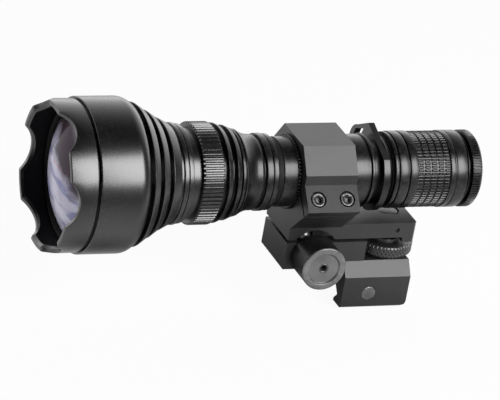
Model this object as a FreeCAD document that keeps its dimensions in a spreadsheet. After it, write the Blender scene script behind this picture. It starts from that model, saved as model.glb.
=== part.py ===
import FreeCAD, Part
import Sketcher
import math
import os
from types import SimpleNamespace

# Infrared illuminator: a focusing torch in a pinch ring, on a rail mount with windage and elevation.
# The origin is the centre of the rail seat, +X runs back along the torch, +Y away from the knob, +Z up.
# Turned pieces are drawn along X from the ring's middle, with the lens towards -X.

sizes = {
    # where the torch sits over the rail
    "ring_to_foot": 28.9,
    "torch_over_plate": 1.9,
    "running_gap": 0.05,
    "sliding_gap": 0.2,
    # battery tube, collar and lanyard ring
    "tube_radius": 13.6,
    "tube_rear_radius": 14.1,
    "tube_bore": 9.6,
    "thread_radius": 12.6,
    "tube_front_show": 5.5,
    "tube_rear_show": 8.3,
    "ridge_radius": 14.7,
    "ridge_length": 1.6,
    "tube_waist_radius": 12.9,
    "tube_waist_length": 2.8,
    "front_thread_length": 10.0,
    "rear_thread_length": 17.0,
    "collar_radius": 14.5,
    "collar_length": 1.3,
    "collar_tooth_depth": 0.6,
    "collar_tooth_count": 42,
    "lanyard_radius": 15.8,
    "lanyard_flat": 13.7,
    "lanyard_length": 4.5,
    "lanyard_corner": 12.1,
    "lanyard_reach": 21.2,
    "lanyard_tip_half": 5.8,
    "lanyard_tip_length": 2.7,
    "lanyard_wall": 1.6,
    "lanyard_slot_half": 4.4,
    "lanyard_clock": 19.5,
    "o_ring_radius": 13.3,
    "o_ring_length": 2.2,
    "tail_ring_length": 0.9,
    # body behind the focus ring
    "neck_ring_radius": 14.6,
    "neck_ring_length": 1.5,
    "neck_line": 0.5,
    "neck_band_radius": 15.0,
    "neck_band_length": 3.5,
    "neck_groove_radius": 13.6,
    "neck_groove_length": 1.1,
    "neck_waist_radius": 14.8,
    "neck_waist_length": 3.0,
    "neck_flare_length": 4.8,
    "neck_flare_radius": 17.0,
    "neck_rim_length": 2.4,
    "rear_fin_radius": 18.1,
    "rear_fin_length": 2.2,
    "rear_fin_gap": 2.2,
    "rear_fin_floor": 15.9,
    "rear_rim_radius": 19.1,
    "rear_rim_length": 1.8,
    "ring_groove_length": 2.0,
    "ring_groove_radius": 17.7,
    # focus ring and the sleeve under it
    "focus_radius": 19.8,
    "focus_length": 8.4,
    "focus_rib_depth": 0.7,
    "focus_rib_count": 60,
    "focus_rim_length": 0.4,
    "sleeve_radius": 17.0,
    "sleeve_reach": 9.0,
    "carrier_bore": 14.0,
    "neck_web_length": 2.0,
    "neck_web_bore": 7.0,
    # head with its cooling fins
    "head_radius": 29.9,
    "head_length": 15.6,
    "head_round": 4.5,
    "head_taper": 1.9,
    "head_wall": 2.0,
    "fin_gap": 2.0,
    "first_fin_drop": 2.1,
    "fin_step": 3.0,
    "fin_taper": 2.0,
    "fin_depth": 4.0,
    "thin_fin_length": 3.0,
    "third_fin_length": 4.0,
    "fin_floor_radius": 18.8,
    "last_fin_gap": 1.2,
    "band_radius": 19.6,
    "back_band_radius": 19.1,
    "front_band_length": 3.0,
    "back_band_length": 1.6,
    "band_line": 0.6,
    "lip_radius": 18.0,
    "lip_length": 2.6,
    "reflector_lip": 2.0,
    "reflector_length": 14.0,
    "reflector_taper": 7.5,
    # bezel, lens and seals
    "bezel_length": 11.7,
    "bezel_step": 0.4,
    "bezel_wall": 2.9,
    "bezel_draft": 0.9,
    "bezel_clock": 33.0,
    "skirt_inset": 2.0,
    "skirt_length": 2.9,
    "notch_depth": 4.1,
    "notch_radius": 11.8,
    "notch_count": 6,
    "lens_edge": 3.0,
    "lens_setback": 0.7,
    "lens_crown": 7.0,
    "lens_lip": 1.4,
    "lens_ring_length": 2.0,
    "gasket_width": 1.8,
    "gasket_length": 0.8,
    # emitter and its sliding carrier
    "carrier_length": 11.0,
    "carrier_setback": 1.5,
    "carrier_wall": 2.0,
    "carrier_floor": 3.0,
    "board_radius": 8.0,
    "board_length": 1.6,
    "dome_radius": 2.5,
    "emitter_base": 1.0,
    "driver_length": 1.6,
    "spring_radius": 4.0,
    "spring_wall": 0.8,
    "front_spring_length": 4.0,
    "cell_radius": 9.2,
    "cell_length": 65.0,
    "cell_button_radius": 3.0,
    "cell_button_length": 0.8,
    # tail cap, switch and button
    "tail_radius": 15.1,
    "tail_length": 37.1,
    "tail_front_radius": 14.9,
    "tail_front_length": 1.4,
    "tail_band_length": 4.3,
    "tail_groove_length": 0.8,
    "tail_groove_radius": 14.4,
    "tail_ring_band": 2.3,
    "knurl_length": 14.0,
    "knurl_radius": 14.9,
    "knurl_depth": 0.5,
    "knurl_count": 40,
    "knurl_rows": 5,
    "knurl_row_gap": 0.5,
    "tail_plain_length": 2.0,
    "tail_wide_length": 4.9,
    "tail_waist_length": 1.5,
    "tail_waist_radius": 14.0,
    "tail_edge": 1.0,
    "tail_end_knurl_count": 40,
    "switch_bore": 11.5,
    "tail_wall": 4.0,
    "button_radius": 6.2,
    "button_gap": 0.3,
    "button_flange": 8.0,
    "button_flange_length": 1.0,
    "button_recess": 0.8,
    "button_travel": 1.2,
    "switch_length": 5.5,
    "switch_radius": 9.0,
    "retainer_length": 2.0,
    # pinch ring and tilting plate
    "clamp_length": 21.6,
    "clamp_top": 15.7,
    "clamp_top_half": 10.0,
    "clamp_cheek": 17.4,
    "clamp_cheek_top": 6.5,
    "lug_face": 14.1,
    "lug_side": 21.5,
    "lug_thickness": 4.5,
    "lug_slit": 1.0,
    "clamp_screw_line": 16.2,
    "clamp_screw_spacing": 12.0,
    "clamp_screw_radius": 1.5,
    "clamp_screw_depth": 10.0,
    "screw_head_radius": 2.75,
    "screw_head_length": 3.0,
    "screw_socket_width": 2.5,
    "screw_sink_radius": 3.25,
    "plate_half": 11.5,
    "plate_thickness": 6.4,
    "plate_gap": 1.4,
    "plate_rear_reach": 7.9,
    "plate_corner": 1.0,
    "skirt_round": 6.2,
    "skirt_drop": 2.0,
    "skirt_start": 2.7,
    # elevation hinge, wheel, screw and nut
    "hinge_from_front": 7.8,
    "hinge_rise": 0.5,
    "hinge_pin_radius": 1.6,
    "knuckle_radius": 2.9,
    "knuckle_half": 4.9,
    "ear_thickness": 3.2,
    "ear_gap": 0.3,
    "ear_headroom": 0.6,
    "pin_proud": 1.2,
    "wheel_from_ring": 35.2,
    "wheel_radius": 10.9,
    "wheel_thickness": 5.3,
    "wheel_rib_depth": 0.5,
    "wheel_rib_count": 50,
    "wheel_hub_radius": 7.0,
    "wheel_hub_height": 1.1,
    "wheel_neck_radius": 4.6,
    "wheel_neck_height": 1.4,
    "wheel_foot_radius": 5.0,
    "wheel_foot_height": 0.5,
    "elevation_screw_radius": 2.4,
    "journal_radius": 2.0,
    "nut_radius": 4.0,
    "nut_play": 0.5,
    "nut_cap": 0.9,
    "nut_rim_gap": 0.6,
    "nut_rim_depth": 1.0,
    "cross_pin_radius": 1.0,
    "cross_pin_rise": 3.2,
    "cross_pin_recess": 1.0,
    "clip_radius": 3.6,
    "clip_thickness": 0.8,
    # windage carriage, knob and pivot
    "carriage_top": 20.5,
    "carriage_bottom": 9.3,
    "carriage_rear": 23.2,
    "channel_half": 7.5,
    "channel_top": 18.9,
    "channel_wall": 3.5,
    "keel_half": 7.0,
    "keel_top": 11.9,
    "keel_rear": 0.8,
    "knob_from_ring": 0.7,
    "knob_height": 15.5,
    "knob_radius": 9.0,
    "knob_length": 12.2,
    "knob_rib_depth": 0.4,
    "knob_rib_count": 50,
    "knob_face_recess": 0.8,
    "knob_face_radius": 6.6,
    "knob_hex_width": 2.5,
    "knob_hex_depth": 3.0,
    "windage_screw_radius": 2.0,
    "arch_radius": 10.5,
    "windage_clip_radius": 3.6,
    "windage_clip_length": 1.2,
    "pivot_from_foot": 9.7,
    "pivot_radius": 2.0,
    "pivot_head_radius": 3.2,
    "pivot_head_length": 2.6,
    "pivot_top": 17.6,
    # foot, jaw and clamp bolt on a 21.2 mm accessory rail
    "foot_length": 28.0,
    "foot_top": 12.0,
    "foot_top_half": 11.0,
    "foot_half": 15.2,
    "shoulder_height": 6.6,
    "jaw_drop": 6.7,
    "jaw_edge": 0.8,
    "jaw_rear_round": 2.6,
    "rail_top_half": 8.0,
    "rail_half": 10.7,
    "rail_widest": 2.85,
    "rail_under_half": 8.2,
    "rail_under": 5.5,
    "jaw_top": 5.3,
    "jaw_face": 8.8,
    "jaw_travel": 2.5,
    "bolt_from_foot": 2.8,
    "bolt_height": -0.6,
    "bolt_radius": 2.5,
    "bolt_clearance": 0.1,
    "bolt_head_radius": 2.95,
    "bolt_head_length": 3.0,
    "bolt_end": 24.6,
    "clamp_nut_radius": 7.0,
    "clamp_nut_length": 7.0,
    "clamp_nut_rib_count": 18,
    "clamp_nut_rib_depth": 0.6,
    "coin_slot_width": 1.6,
    "coin_slot_depth": 2.0,
    "recess_half": 8.2,
    "recess_floor": 8.6,
    "nose_half": 6.0,
    "nose_reach": 20.0,
    "nose_top": 18.3,
    "nose_bottom": 9.1,
    "nose_root": 2.5,
    "nose_root_length": 5.5,
    "windage_nut_radius": 3.5,
    "windage_nut_play": 0.4,
}


class Size:
    # a number that carries its own formula, so that a sketch can be bound to the sheet

    def __init__(self, value, formula):
        self.value = float(value)
        self.formula = formula

    def __add__(self, other):
        other = as_size(other)
        return Size(self.value + other.value, "(%s + %s)" % (self.formula, other.formula))

    def __sub__(self, other):
        other = as_size(other)
        return Size(self.value - other.value, "(%s - %s)" % (self.formula, other.formula))

    def __mul__(self, other):
        other = as_size(other)
        return Size(self.value * other.value, "(%s * %s)" % (self.formula, other.formula))

    def __truediv__(self, other):
        other = as_size(other)
        return Size(self.value / other.value, "(%s / %s)" % (self.formula, other.formula))

    def __radd__(self, other):
        return as_size(other) + self

    def __rsub__(self, other):
        return as_size(other) - self

    def __rmul__(self, other):
        return as_size(other) * self

    def __neg__(self):
        return Size(-self.value, "(0 - %s)" % self.formula)


def as_size(value):
    if isinstance(value, Size):
        return value
    return Size(value, repr(float(value)))


document = FreeCAD.newDocument("infrared_illuminator")
sheet = document.addObject("Spreadsheet::Sheet", "Sizes")
for row, (name, value) in enumerate(sizes.items(), 1):
    sheet.set("A%d" % row, name)
    sheet.set("B%d" % row, str(value))
    sheet.setAlias("B%d" % row, name)
document.recompute()
s = SimpleNamespace(**{name: Size(value, "Sizes." + name) for name, value in sizes.items()})

# Heights and radii that follow from the sizes above.
plate_bottom = s.carriage_top + s.plate_gap
plate_top = plate_bottom + s.plate_thickness
hinge_height = plate_bottom + s.hinge_rise
cross_pin_height = plate_bottom + s.cross_pin_rise
axis_height = plate_top + s.lanyard_radius + s.torch_over_plate
bezel_radius = s.head_radius - s.bezel_step
bezel_bore = bezel_radius - s.bezel_wall
skirt_radius = s.head_radius - s.skirt_inset
lens_radius = skirt_radius - s.head_wall
lens_ring_bore = lens_radius - s.lens_lip
reflector_bore = lens_radius - s.reflector_lip
first_fin_radius = s.head_radius - s.first_fin_drop
second_fin_radius = first_fin_radius - s.fin_step
third_fin_radius = second_fin_radius - s.fin_step

pieces = []
diagonal = math.sqrt(0.5)
along_x = FreeCAD.Rotation()
away_from_knob = FreeCAD.Rotation(FreeCAD.Vector(0, 0, 1), 90)
towards_knob = FreeCAD.Rotation(FreeCAD.Vector(0, 0, 1), -90)
upwards = FreeCAD.Rotation(FreeCAD.Vector(0, 1, 0), -90)


def bind(thing, path, size):
    thing.setExpression(path, as_size(size).formula)


def new_body(name, turn=along_x, x=0, y=0, z=0):
    body = document.addObject("PartDesign::Body", name)
    body.Label = name
    body.Placement = FreeCAD.Placement(FreeCAD.Vector(), turn)
    bind(body, ".Placement.Base.x", x)
    bind(body, ".Placement.Base.y", y)
    bind(body, ".Placement.Base.z", z)
    pieces.append(body)
    return body


def on_torch(name):
    return new_body(name, along_x, -s.ring_to_foot, 0, axis_height)


def sketch_on(body, role, offset=0):
    sketch = body.newObject("Sketcher::SketchObject", body.Name + "_sketch")
    plane = [feature for feature in body.Origin.OriginFeatures if feature.Role == role][0]
    sketch.AttachmentSupport = [(plane, "")]
    sketch.MapMode = "FlatFace"
    bind(sketch, ".AttachmentOffset.Base.z", offset)
    return sketch


def place_point(sketch, curve, end, point):
    for kind, axis, coordinate in (("DistanceX", -2, point[0]), ("DistanceY", -1, point[1])):
        coordinate = as_size(coordinate)
        if "Sizes" not in coordinate.formula and coordinate.value == 0:
            sketch.addConstraint(Sketcher.Constraint("PointOnObject", curve, end, axis))
        else:
            index = sketch.addConstraint(Sketcher.Constraint(kind, -1, 1, curve, end, coordinate.value))
            bind(sketch, "Constraints[%d]" % index, coordinate)


def arc_middle(start, end, radius, side):
    chord = end - start
    half = chord.Length / 2
    across = FreeCAD.Vector(-chord.y, chord.x, 0).normalize()
    rise = radius - math.sqrt(max(radius * radius - half * half, 0))
    return (start + end) * 0.5 + across * rise * side


def draw(sketch, points, arcs=None):
    # a closed outline; arcs gives, for an edge, its radius and the side that it bulges to
    arcs = arcs or {}
    corners = [FreeCAD.Vector(as_size(x).value, as_size(y).value, 0) for x, y in points]
    count = len(corners)
    first = sketch.GeometryCount
    ends = []
    for edge in range(count):
        start, end = corners[edge], corners[(edge + 1) % count]
        if edge in arcs:
            radius, side = arcs[edge]
            middle = arc_middle(start, end, as_size(radius).value, side)
            sketch.addGeometry(Part.Arc(start, middle, end), False)
            ends.append((1, 2) if side < 0 else (2, 1))
        else:
            sketch.addGeometry(Part.LineSegment(start, end), False)
            ends.append((1, 2))
    for edge in range(count):
        after = (edge + 1) % count
        joint = Sketcher.Constraint("Coincident", first + edge, ends[edge][1], first + after, ends[after][0])
        sketch.addConstraint(joint)
    for edge in range(count):
        place_point(sketch, first + edge, ends[edge][0], points[edge])
    for edge, (radius, side) in arcs.items():
        index = sketch.addConstraint(Sketcher.Constraint("Radius", first + edge, as_size(radius).value))
        bind(sketch, "Constraints[%d]" % index, radius)


def draw_circle(sketch, x, y, radius):
    centre = FreeCAD.Vector(as_size(x).value, as_size(y).value, 0)
    circle = Part.Circle(centre, FreeCAD.Vector(0, 0, 1), as_size(radius).value)
    curve = sketch.addGeometry(circle, False)
    place_point(sketch, curve, 3, (x, y))
    index = sketch.addConstraint(Sketcher.Constraint("Radius", curve, as_size(radius).value))
    bind(sketch, "Constraints[%d]" % index, radius)


def rectangle(x_low, x_high, y_low, y_high):
    return [(x_low, y_low), (x_high, y_low), (x_high, y_high), (x_low, y_high)]


def turn(body, points, arcs=None, groove=False):
    sketch = sketch_on(body, "XZ_Plane")
    draw(sketch, points, arcs)
    kind = "PartDesign::Groove" if groove else "PartDesign::Revolution"
    feature = body.newObject(kind, body.Name + "_turn")
    feature.Profile = sketch
    feature.ReferenceAxis = (sketch, ["H_Axis"])
    feature.Angle = 360
    return feature


def extrude(body, kind, sketch, length):
    feature = body.newObject(kind, body.Name + "_cut" if kind.endswith("Pocket") else body.Name + "_pad")
    feature.Profile = sketch
    bind(feature, "Length", length)
    return feature


def pad(body, role, points, low, high, arcs=None):
    sketch = sketch_on(body, role, low)
    draw(sketch, points, arcs)
    return extrude(body, "PartDesign::Pad", sketch, high - as_size(low))


def pad_circle(body, role, x, y, radius, low, high):
    sketch = sketch_on(body, role, low)
    draw_circle(sketch, x, y, radius)
    return extrude(body, "PartDesign::Pad", sketch, high - as_size(low))


def cut(body, role, points, low, high, arcs=None):
    sketch = sketch_on(body, role, high)
    draw(sketch, points, arcs)
    return extrude(body, "PartDesign::Pocket", sketch, high - as_size(low))


def cut_circle(body, role, x, y, radius, low, high):
    sketch = sketch_on(body, role, high)
    draw_circle(sketch, x, y, radius)
    return extrude(body, "PartDesign::Pocket", sketch, high - as_size(low))


def cut_hexagon(body, role, x, y, width, low, high):
    # a hexagon socket of the given width across its flats, flats facing up and down
    half = as_size(width) * 0.5
    reach = half * (2 / math.sqrt(3))
    points = [
        (x + reach, y),
        (x + reach * 0.5, y + half),
        (x - reach * 0.5, y + half),
        (x - reach, y),
        (x - reach * 0.5, y - half),
        (x + reach * 0.5, y - half),
    ]
    return cut(body, role, points, low, high)


def around(body, feature, count):
    axis = [item for item in body.Origin.OriginFeatures if item.Role == "X_Axis"][0]
    pattern = body.newObject("PartDesign::PolarPattern", body.Name + "_pattern")
    pattern.Originals = [feature]
    pattern.Axis = (axis, [""])
    pattern.Angle = 360
    bind(pattern, "Occurrences", count)
    body.Tip = pattern
    return pattern


def knurl(body, radius, depth, count, low, high):
    # straight grooves along X, as wide at the rim as the ribs between them
    pitch = as_size(radius) * (2 * math.pi) / count
    outer = pitch * 0.28
    inner = pitch * 0.1
    clear = radius + 0.5
    points = [
        (-inner, radius - depth),
        (inner, radius - depth),
        (outer, radius),
        (outer, clear),
        (-outer, clear),
        (-outer, radius),
    ]
    return around(body, cut(body, "YZ_Plane", points, low, high), count)


def tube(body, low, high, bore, radius):
    return turn(body, rectangle(low, high, bore, radius))


def clear_of(radius):
    return radius + s.running_gap


# Stations along the torch, from the middle of the pinch ring.
clamp_front = -s.clamp_length / 2
clamp_rear = s.clamp_length / 2
collar_front = clamp_front - s.collar_length
tube_front = collar_front - s.tube_front_show
neck_rear = tube_front - s.o_ring_length
neck_ring_front = neck_rear - s.neck_ring_length
neck_band_rear = neck_ring_front - s.neck_line
neck_band_front = neck_band_rear - s.neck_band_length
neck_waist_rear = neck_band_front - s.neck_groove_length
neck_waist_front = neck_waist_rear - s.neck_waist_length
neck_flare_front = neck_waist_front - s.neck_flare_length
rear_fin_rear = neck_flare_front - s.neck_rim_length
rear_fin_front = rear_fin_rear - s.rear_fin_length
rear_rim_rear = rear_fin_front - s.rear_fin_gap
rear_rim_front = rear_rim_rear - s.rear_rim_length
focus_rear = rear_rim_front - s.ring_groove_length
focus_front = focus_rear - s.focus_length
lip_front = focus_front - s.lip_length
back_band_front = lip_front - s.back_band_length
front_band_rear = back_band_front - s.band_line
front_band_front = front_band_rear - s.front_band_length
third_fin_rear = front_band_front - s.last_fin_gap
third_fin_front = third_fin_rear - s.third_fin_length
second_fin_rear = third_fin_front - s.fin_gap
second_fin_front = second_fin_rear - s.thin_fin_length
first_fin_rear = second_fin_front - s.fin_gap
first_fin_front = first_fin_rear - s.thin_fin_length
head_rear = first_fin_front - s.fin_gap
head_shoulder = head_rear - s.head_round
bezel_rear = head_shoulder - s.head_length
bezel_front = bezel_rear - s.bezel_length
lens_front = bezel_rear - s.lens_setback
lens_rear = lens_front + s.lens_edge
lens_stop = lens_rear + s.gasket_length
sleeve_front = focus_front - s.sleeve_reach
tube_thread_front = tube_front - s.front_thread_length
web_rear = tube_thread_front - s.driver_length
web_front = web_rear - s.neck_web_length
ridge_front = clamp_rear + s.tube_rear_show
ridge_rear = ridge_front + s.ridge_length
lanyard_front = ridge_rear + s.tube_waist_length
lanyard_rear = lanyard_front + s.lanyard_length
tail_front = lanyard_rear + s.tail_ring_length
tail_end = tail_front + s.tail_length
tube_end = lanyard_rear + s.rear_thread_length
cell_front = tube_thread_front + s.front_spring_length
cell_rear = cell_front + s.cell_length
tail_inside = tail_end - s.tail_wall

# Front bezel: a thin ring with six rounded notches, and a skirt that screws into the head.
bezel = on_torch("bezel")
bezel.Placement = FreeCAD.Placement(FreeCAD.Vector(), FreeCAD.Rotation(FreeCAD.Vector(1, 0, 0), 0))
bind(bezel, ".Placement.Rotation.Angle", -s.bezel_clock)
turn(bezel, [
    (bezel_front, bezel_bore + 0.8),
    (bezel_front, bezel_radius - s.bezel_draft - 0.5),
    (bezel_front + 0.5, bezel_radius - s.bezel_draft),
    (bezel_rear - 0.3, bezel_radius),
    (bezel_rear, bezel_radius - 0.3),
    (bezel_rear, skirt_radius),
    (bezel_rear + s.skirt_length, skirt_radius),
    (bezel_rear + s.skirt_length, clear_of(lens_radius)),
    (lens_front, clear_of(lens_radius)),
    (lens_front, bezel_bore),
    (bezel_front + 1.2, bezel_bore),
])
notch_sketch = sketch_on(bezel, "XY_Plane", bezel_radius + 1)
draw_circle(notch_sketch, bezel_front - s.notch_radius + s.notch_depth, 0, s.notch_radius)
notch = extrude(bezel, "PartDesign::Pocket", notch_sketch, bezel_radius)
around(bezel, notch, s.notch_count)

# Lens: flat at the back, domed at the front, held by a threaded ring against a flat gasket.
lens = on_torch("lens")
dome = lens_ring_bore
dome_radius = (dome * dome + s.lens_crown * s.lens_crown) / (s.lens_crown * 2)
turn(lens, [
    (lens_front - s.lens_crown, 0),
    (lens_front, dome),
    (lens_front, lens_radius),
    (lens_rear, lens_radius),
    (lens_rear, 0),
], {0: (dome_radius, 1)})
tube(on_torch("lens_ring"), lens_front - s.lens_ring_length, lens_front, lens_ring_bore,
     bezel_bore - s.running_gap)
tube(on_torch("lens_gasket"), lens_rear, lens_stop, lens_radius - s.gasket_width, lens_radius)

# Head: a straight drum, a rounded shoulder and the cooling fins, over the conical light bore.
head_shell = on_torch("head_shell")
shoulder_radius = (s.head_round * s.head_round + s.head_taper * s.head_taper) / (s.head_taper * 2)
taper_front = lens_stop + s.reflector_length
taper_rear = taper_front + s.reflector_taper
turn(head_shell, [
    (bezel_rear, clear_of(skirt_radius)),
    (bezel_rear, s.head_radius - 0.3),
    (bezel_rear + 0.3, s.head_radius),
    (head_shoulder, s.head_radius),
    (head_rear, s.head_radius - s.head_taper),
    (head_rear, first_fin_radius - s.fin_depth),
    (first_fin_front, first_fin_radius - s.fin_depth),
    (first_fin_front, first_fin_radius),
    (first_fin_rear, first_fin_radius - s.fin_taper),
    (first_fin_rear, second_fin_radius - s.fin_depth),
    (second_fin_front, second_fin_radius - s.fin_depth),
    (second_fin_front, second_fin_radius),
    (second_fin_rear, second_fin_radius - s.fin_taper),
    (second_fin_rear, s.fin_floor_radius),
    (third_fin_front, s.fin_floor_radius),
    (third_fin_front, third_fin_radius),
    (third_fin_rear, third_fin_radius - s.fin_taper),
    (third_fin_rear, s.fin_floor_radius),
    (front_band_front, s.fin_floor_radius),
    (front_band_front, s.band_radius),
    (front_band_rear, s.band_radius),
    (front_band_rear, s.band_radius - s.band_line),
    (back_band_front, s.band_radius - s.band_line),
    (back_band_front, s.back_band_radius),
    (lip_front, s.back_band_radius),
    (lip_front, s.lip_radius),
    (focus_front - s.running_gap, s.lip_radius),
    (focus_front - s.running_gap, clear_of(s.sleeve_radius)),
    (taper_rear, clear_of(s.sleeve_radius)),
    (taper_front, reflector_bore),
    (lens_stop, reflector_bore),
    (lens_stop, clear_of(skirt_radius)),
], {3: (shoulder_radius, 1)})

# Focus ring: turns on the sleeve and carries straight ribs between two plain rims.
focus_ring = on_torch("focus_ring")
turn(focus_ring, [
    (focus_front, clear_of(s.sleeve_radius)),
    (focus_front, s.focus_radius - s.focus_rib_depth),
    (focus_front + s.focus_rim_length, s.focus_radius),
    (focus_rear - s.focus_rim_length, s.focus_radius),
    (focus_rear, s.focus_radius - s.focus_rib_depth),
    (focus_rear, clear_of(s.sleeve_radius)),
])
knurl(focus_ring, s.focus_radius, s.focus_rib_depth, s.focus_rib_count, focus_front, focus_rear)

# Neck: the sleeve that carries head and focus ring, two fins, a concave waist and three bands.
neck_body = on_torch("neck_body")
turn(neck_body, [
    (sleeve_front, s.carrier_bore),
    (sleeve_front, s.sleeve_radius),
    (focus_rear + s.running_gap, s.sleeve_radius),
    (focus_rear + s.running_gap, s.ring_groove_radius),
    (rear_rim_front, s.ring_groove_radius),
    (rear_rim_front, s.rear_rim_radius),
    (rear_rim_rear, s.rear_rim_radius),
    (rear_rim_rear, s.rear_fin_floor),
    (rear_fin_front, s.rear_fin_floor),
    (rear_fin_front, s.rear_fin_radius),
    (rear_fin_rear, s.rear_fin_radius),
    (rear_fin_rear, s.rear_fin_floor),
    (rear_fin_rear + s.neck_line, s.rear_fin_floor),
    (rear_fin_rear + s.neck_line, s.neck_flare_radius),
    (neck_flare_front, s.neck_flare_radius),
    (neck_waist_front, s.neck_waist_radius),
    (neck_waist_rear, s.neck_waist_radius),
    (neck_waist_rear, s.neck_groove_radius),
    (neck_band_front, s.neck_groove_radius),
    (neck_band_front, s.neck_band_radius),
    (neck_band_rear, s.neck_band_radius),
    (neck_band_rear, s.neck_ring_radius - s.neck_line),
    (neck_ring_front, s.neck_ring_radius - s.neck_line),
    (neck_ring_front, s.neck_ring_radius),
    (neck_rear, s.neck_ring_radius),
    (neck_rear, clear_of(s.thread_radius)),
    (web_rear, clear_of(s.thread_radius)),
    (web_rear, s.neck_web_bore),
    (web_front, s.neck_web_bore),
    (web_front, s.carrier_bore),
], {14: (s.neck_flare_length * 1.6, -1)})

# Emitter: the diode on its round board, on a cup that the focus ring slides along the sleeve.
carrier_front = sleeve_front + s.carrier_setback
carrier_rear = carrier_front + s.carrier_length
carrier_outer = s.carrier_bore - s.running_gap
turn(on_torch("emitter_carrier"), [
    (carrier_front, 0),
    (carrier_front, carrier_outer),
    (carrier_rear, carrier_outer),
    (carrier_rear, carrier_outer - s.carrier_wall),
    (carrier_front + s.carrier_floor, carrier_outer - s.carrier_wall),
    (carrier_front + s.carrier_floor, 0),
])
board_front = carrier_front - s.board_length
turn(on_torch("emitter_board"), rectangle(board_front, carrier_front, 0, s.board_radius))
emitter_face = board_front - s.emitter_base
turn(on_torch("emitter"), [
    (emitter_face - s.dome_radius, 0),
    (emitter_face, s.dome_radius),
    (board_front, s.dome_radius),
    (board_front, 0),
], {0: (s.dome_radius, 1)})
turn(on_torch("driver_board"), rectangle(web_rear, tube_thread_front, 0, s.thread_radius))
front_spring = on_torch("front_spring")
turn(front_spring, [
    (tube_thread_front, s.spring_radius),
    (tube_thread_front, s.spring_radius + s.spring_wall),
    (cell_front - s.cell_button_length, s.cell_button_radius),
    (cell_front - s.cell_button_length, s.cell_button_radius - s.spring_wall),
])

# Battery tube with its ridge and threaded ends, and the cell inside it.
turn(on_torch("battery_tube"), [
    (tube_thread_front, s.tube_bore),
    (tube_thread_front, s.thread_radius),
    (tube_front, s.thread_radius),
    (tube_front, s.tube_radius),
    (clamp_rear, s.tube_radius),
    (clamp_rear, s.tube_rear_radius),
    (ridge_front, s.tube_rear_radius),
    (ridge_front, s.ridge_radius),
    (ridge_rear, s.ridge_radius),
    (ridge_rear, s.tube_waist_radius),
    (lanyard_front, s.tube_waist_radius),
    (lanyard_front, s.thread_radius),
    (tube_end, s.thread_radius),
    (tube_end, s.tube_bore),
])
turn(on_torch("battery_cell"), [
    (cell_front - s.cell_button_length, 0),
    (cell_front - s.cell_button_length, s.cell_button_radius),
    (cell_front, s.cell_button_radius),
    (cell_front, s.cell_radius),
    (cell_rear, s.cell_radius),
    (cell_rear, 0),
])
tube(on_torch("neck_o_ring"), neck_rear, tube_front, s.thread_radius, s.o_ring_radius)
stop_collar = on_torch("stop_collar")
tube(stop_collar, collar_front, clamp_front, s.tube_radius, s.collar_radius)
knurl(stop_collar, s.collar_radius, s.collar_tooth_depth, s.collar_tooth_count, collar_front, clamp_front)

# Lanyard ring: a round ring with two flats and a pointed ear whose slot takes a cord; it is turned to the
# far side of the torch, so it is drawn with the ear along Y.
lanyard_ring = on_torch("lanyard_ring")
lanyard_ring.Placement = FreeCAD.Placement(FreeCAD.Vector(), FreeCAD.Rotation(FreeCAD.Vector(1, 0, 0), 1))
bind(lanyard_ring, ".Placement.Rotation.Angle", s.lanyard_clock)
tip_start = s.lanyard_reach - s.lanyard_tip_length
tip_half = s.lanyard_tip_half
tip_radius = (tip_half * tip_half + s.lanyard_tip_length * s.lanyard_tip_length) / (s.lanyard_tip_length * 2)
pad_circle(lanyard_ring, "YZ_Plane", 0, 0, s.lanyard_radius, lanyard_front, lanyard_rear)
for side in (-1, 1):
    low, high = (-s.lanyard_radius, -s.lanyard_flat) if side < 0 else (s.lanyard_flat, s.lanyard_radius)
    cut(lanyard_ring, "YZ_Plane", rectangle(-s.lanyard_radius, s.lanyard_radius, low, high),
        lanyard_front, lanyard_rear)
pad(lanyard_ring, "YZ_Plane", [
    (0, -s.lanyard_flat),
    (s.lanyard_corner, -s.lanyard_flat),
    (tip_start, -tip_half),
    (tip_start, tip_half),
    (s.lanyard_corner, s.lanyard_flat),
    (0, s.lanyard_flat),
], lanyard_front, lanyard_rear, {2: (tip_radius, -1)})
slot_floor = s.thread_radius + s.lanyard_wall
slot_tip = tip_start - s.lanyard_wall * 0.2
cut(lanyard_ring, "YZ_Plane", [
    (slot_floor, -s.lanyard_slot_half),
    (s.lanyard_corner + s.lanyard_wall, -s.lanyard_slot_half * 2),
    (slot_tip, -tip_half + s.lanyard_wall * 1.2),
    (slot_tip, tip_half - s.lanyard_wall * 1.2),
    (s.lanyard_corner + s.lanyard_wall, s.lanyard_slot_half * 2),
    (slot_floor, s.lanyard_slot_half),
], lanyard_front, lanyard_rear)
cut_circle(lanyard_ring, "YZ_Plane", 0, 0, clear_of(s.thread_radius), lanyard_front, lanyard_rear)
tube(on_torch("tail_o_ring"), lanyard_rear, tail_front - s.running_gap, s.thread_radius, s.o_ring_radius)

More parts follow.
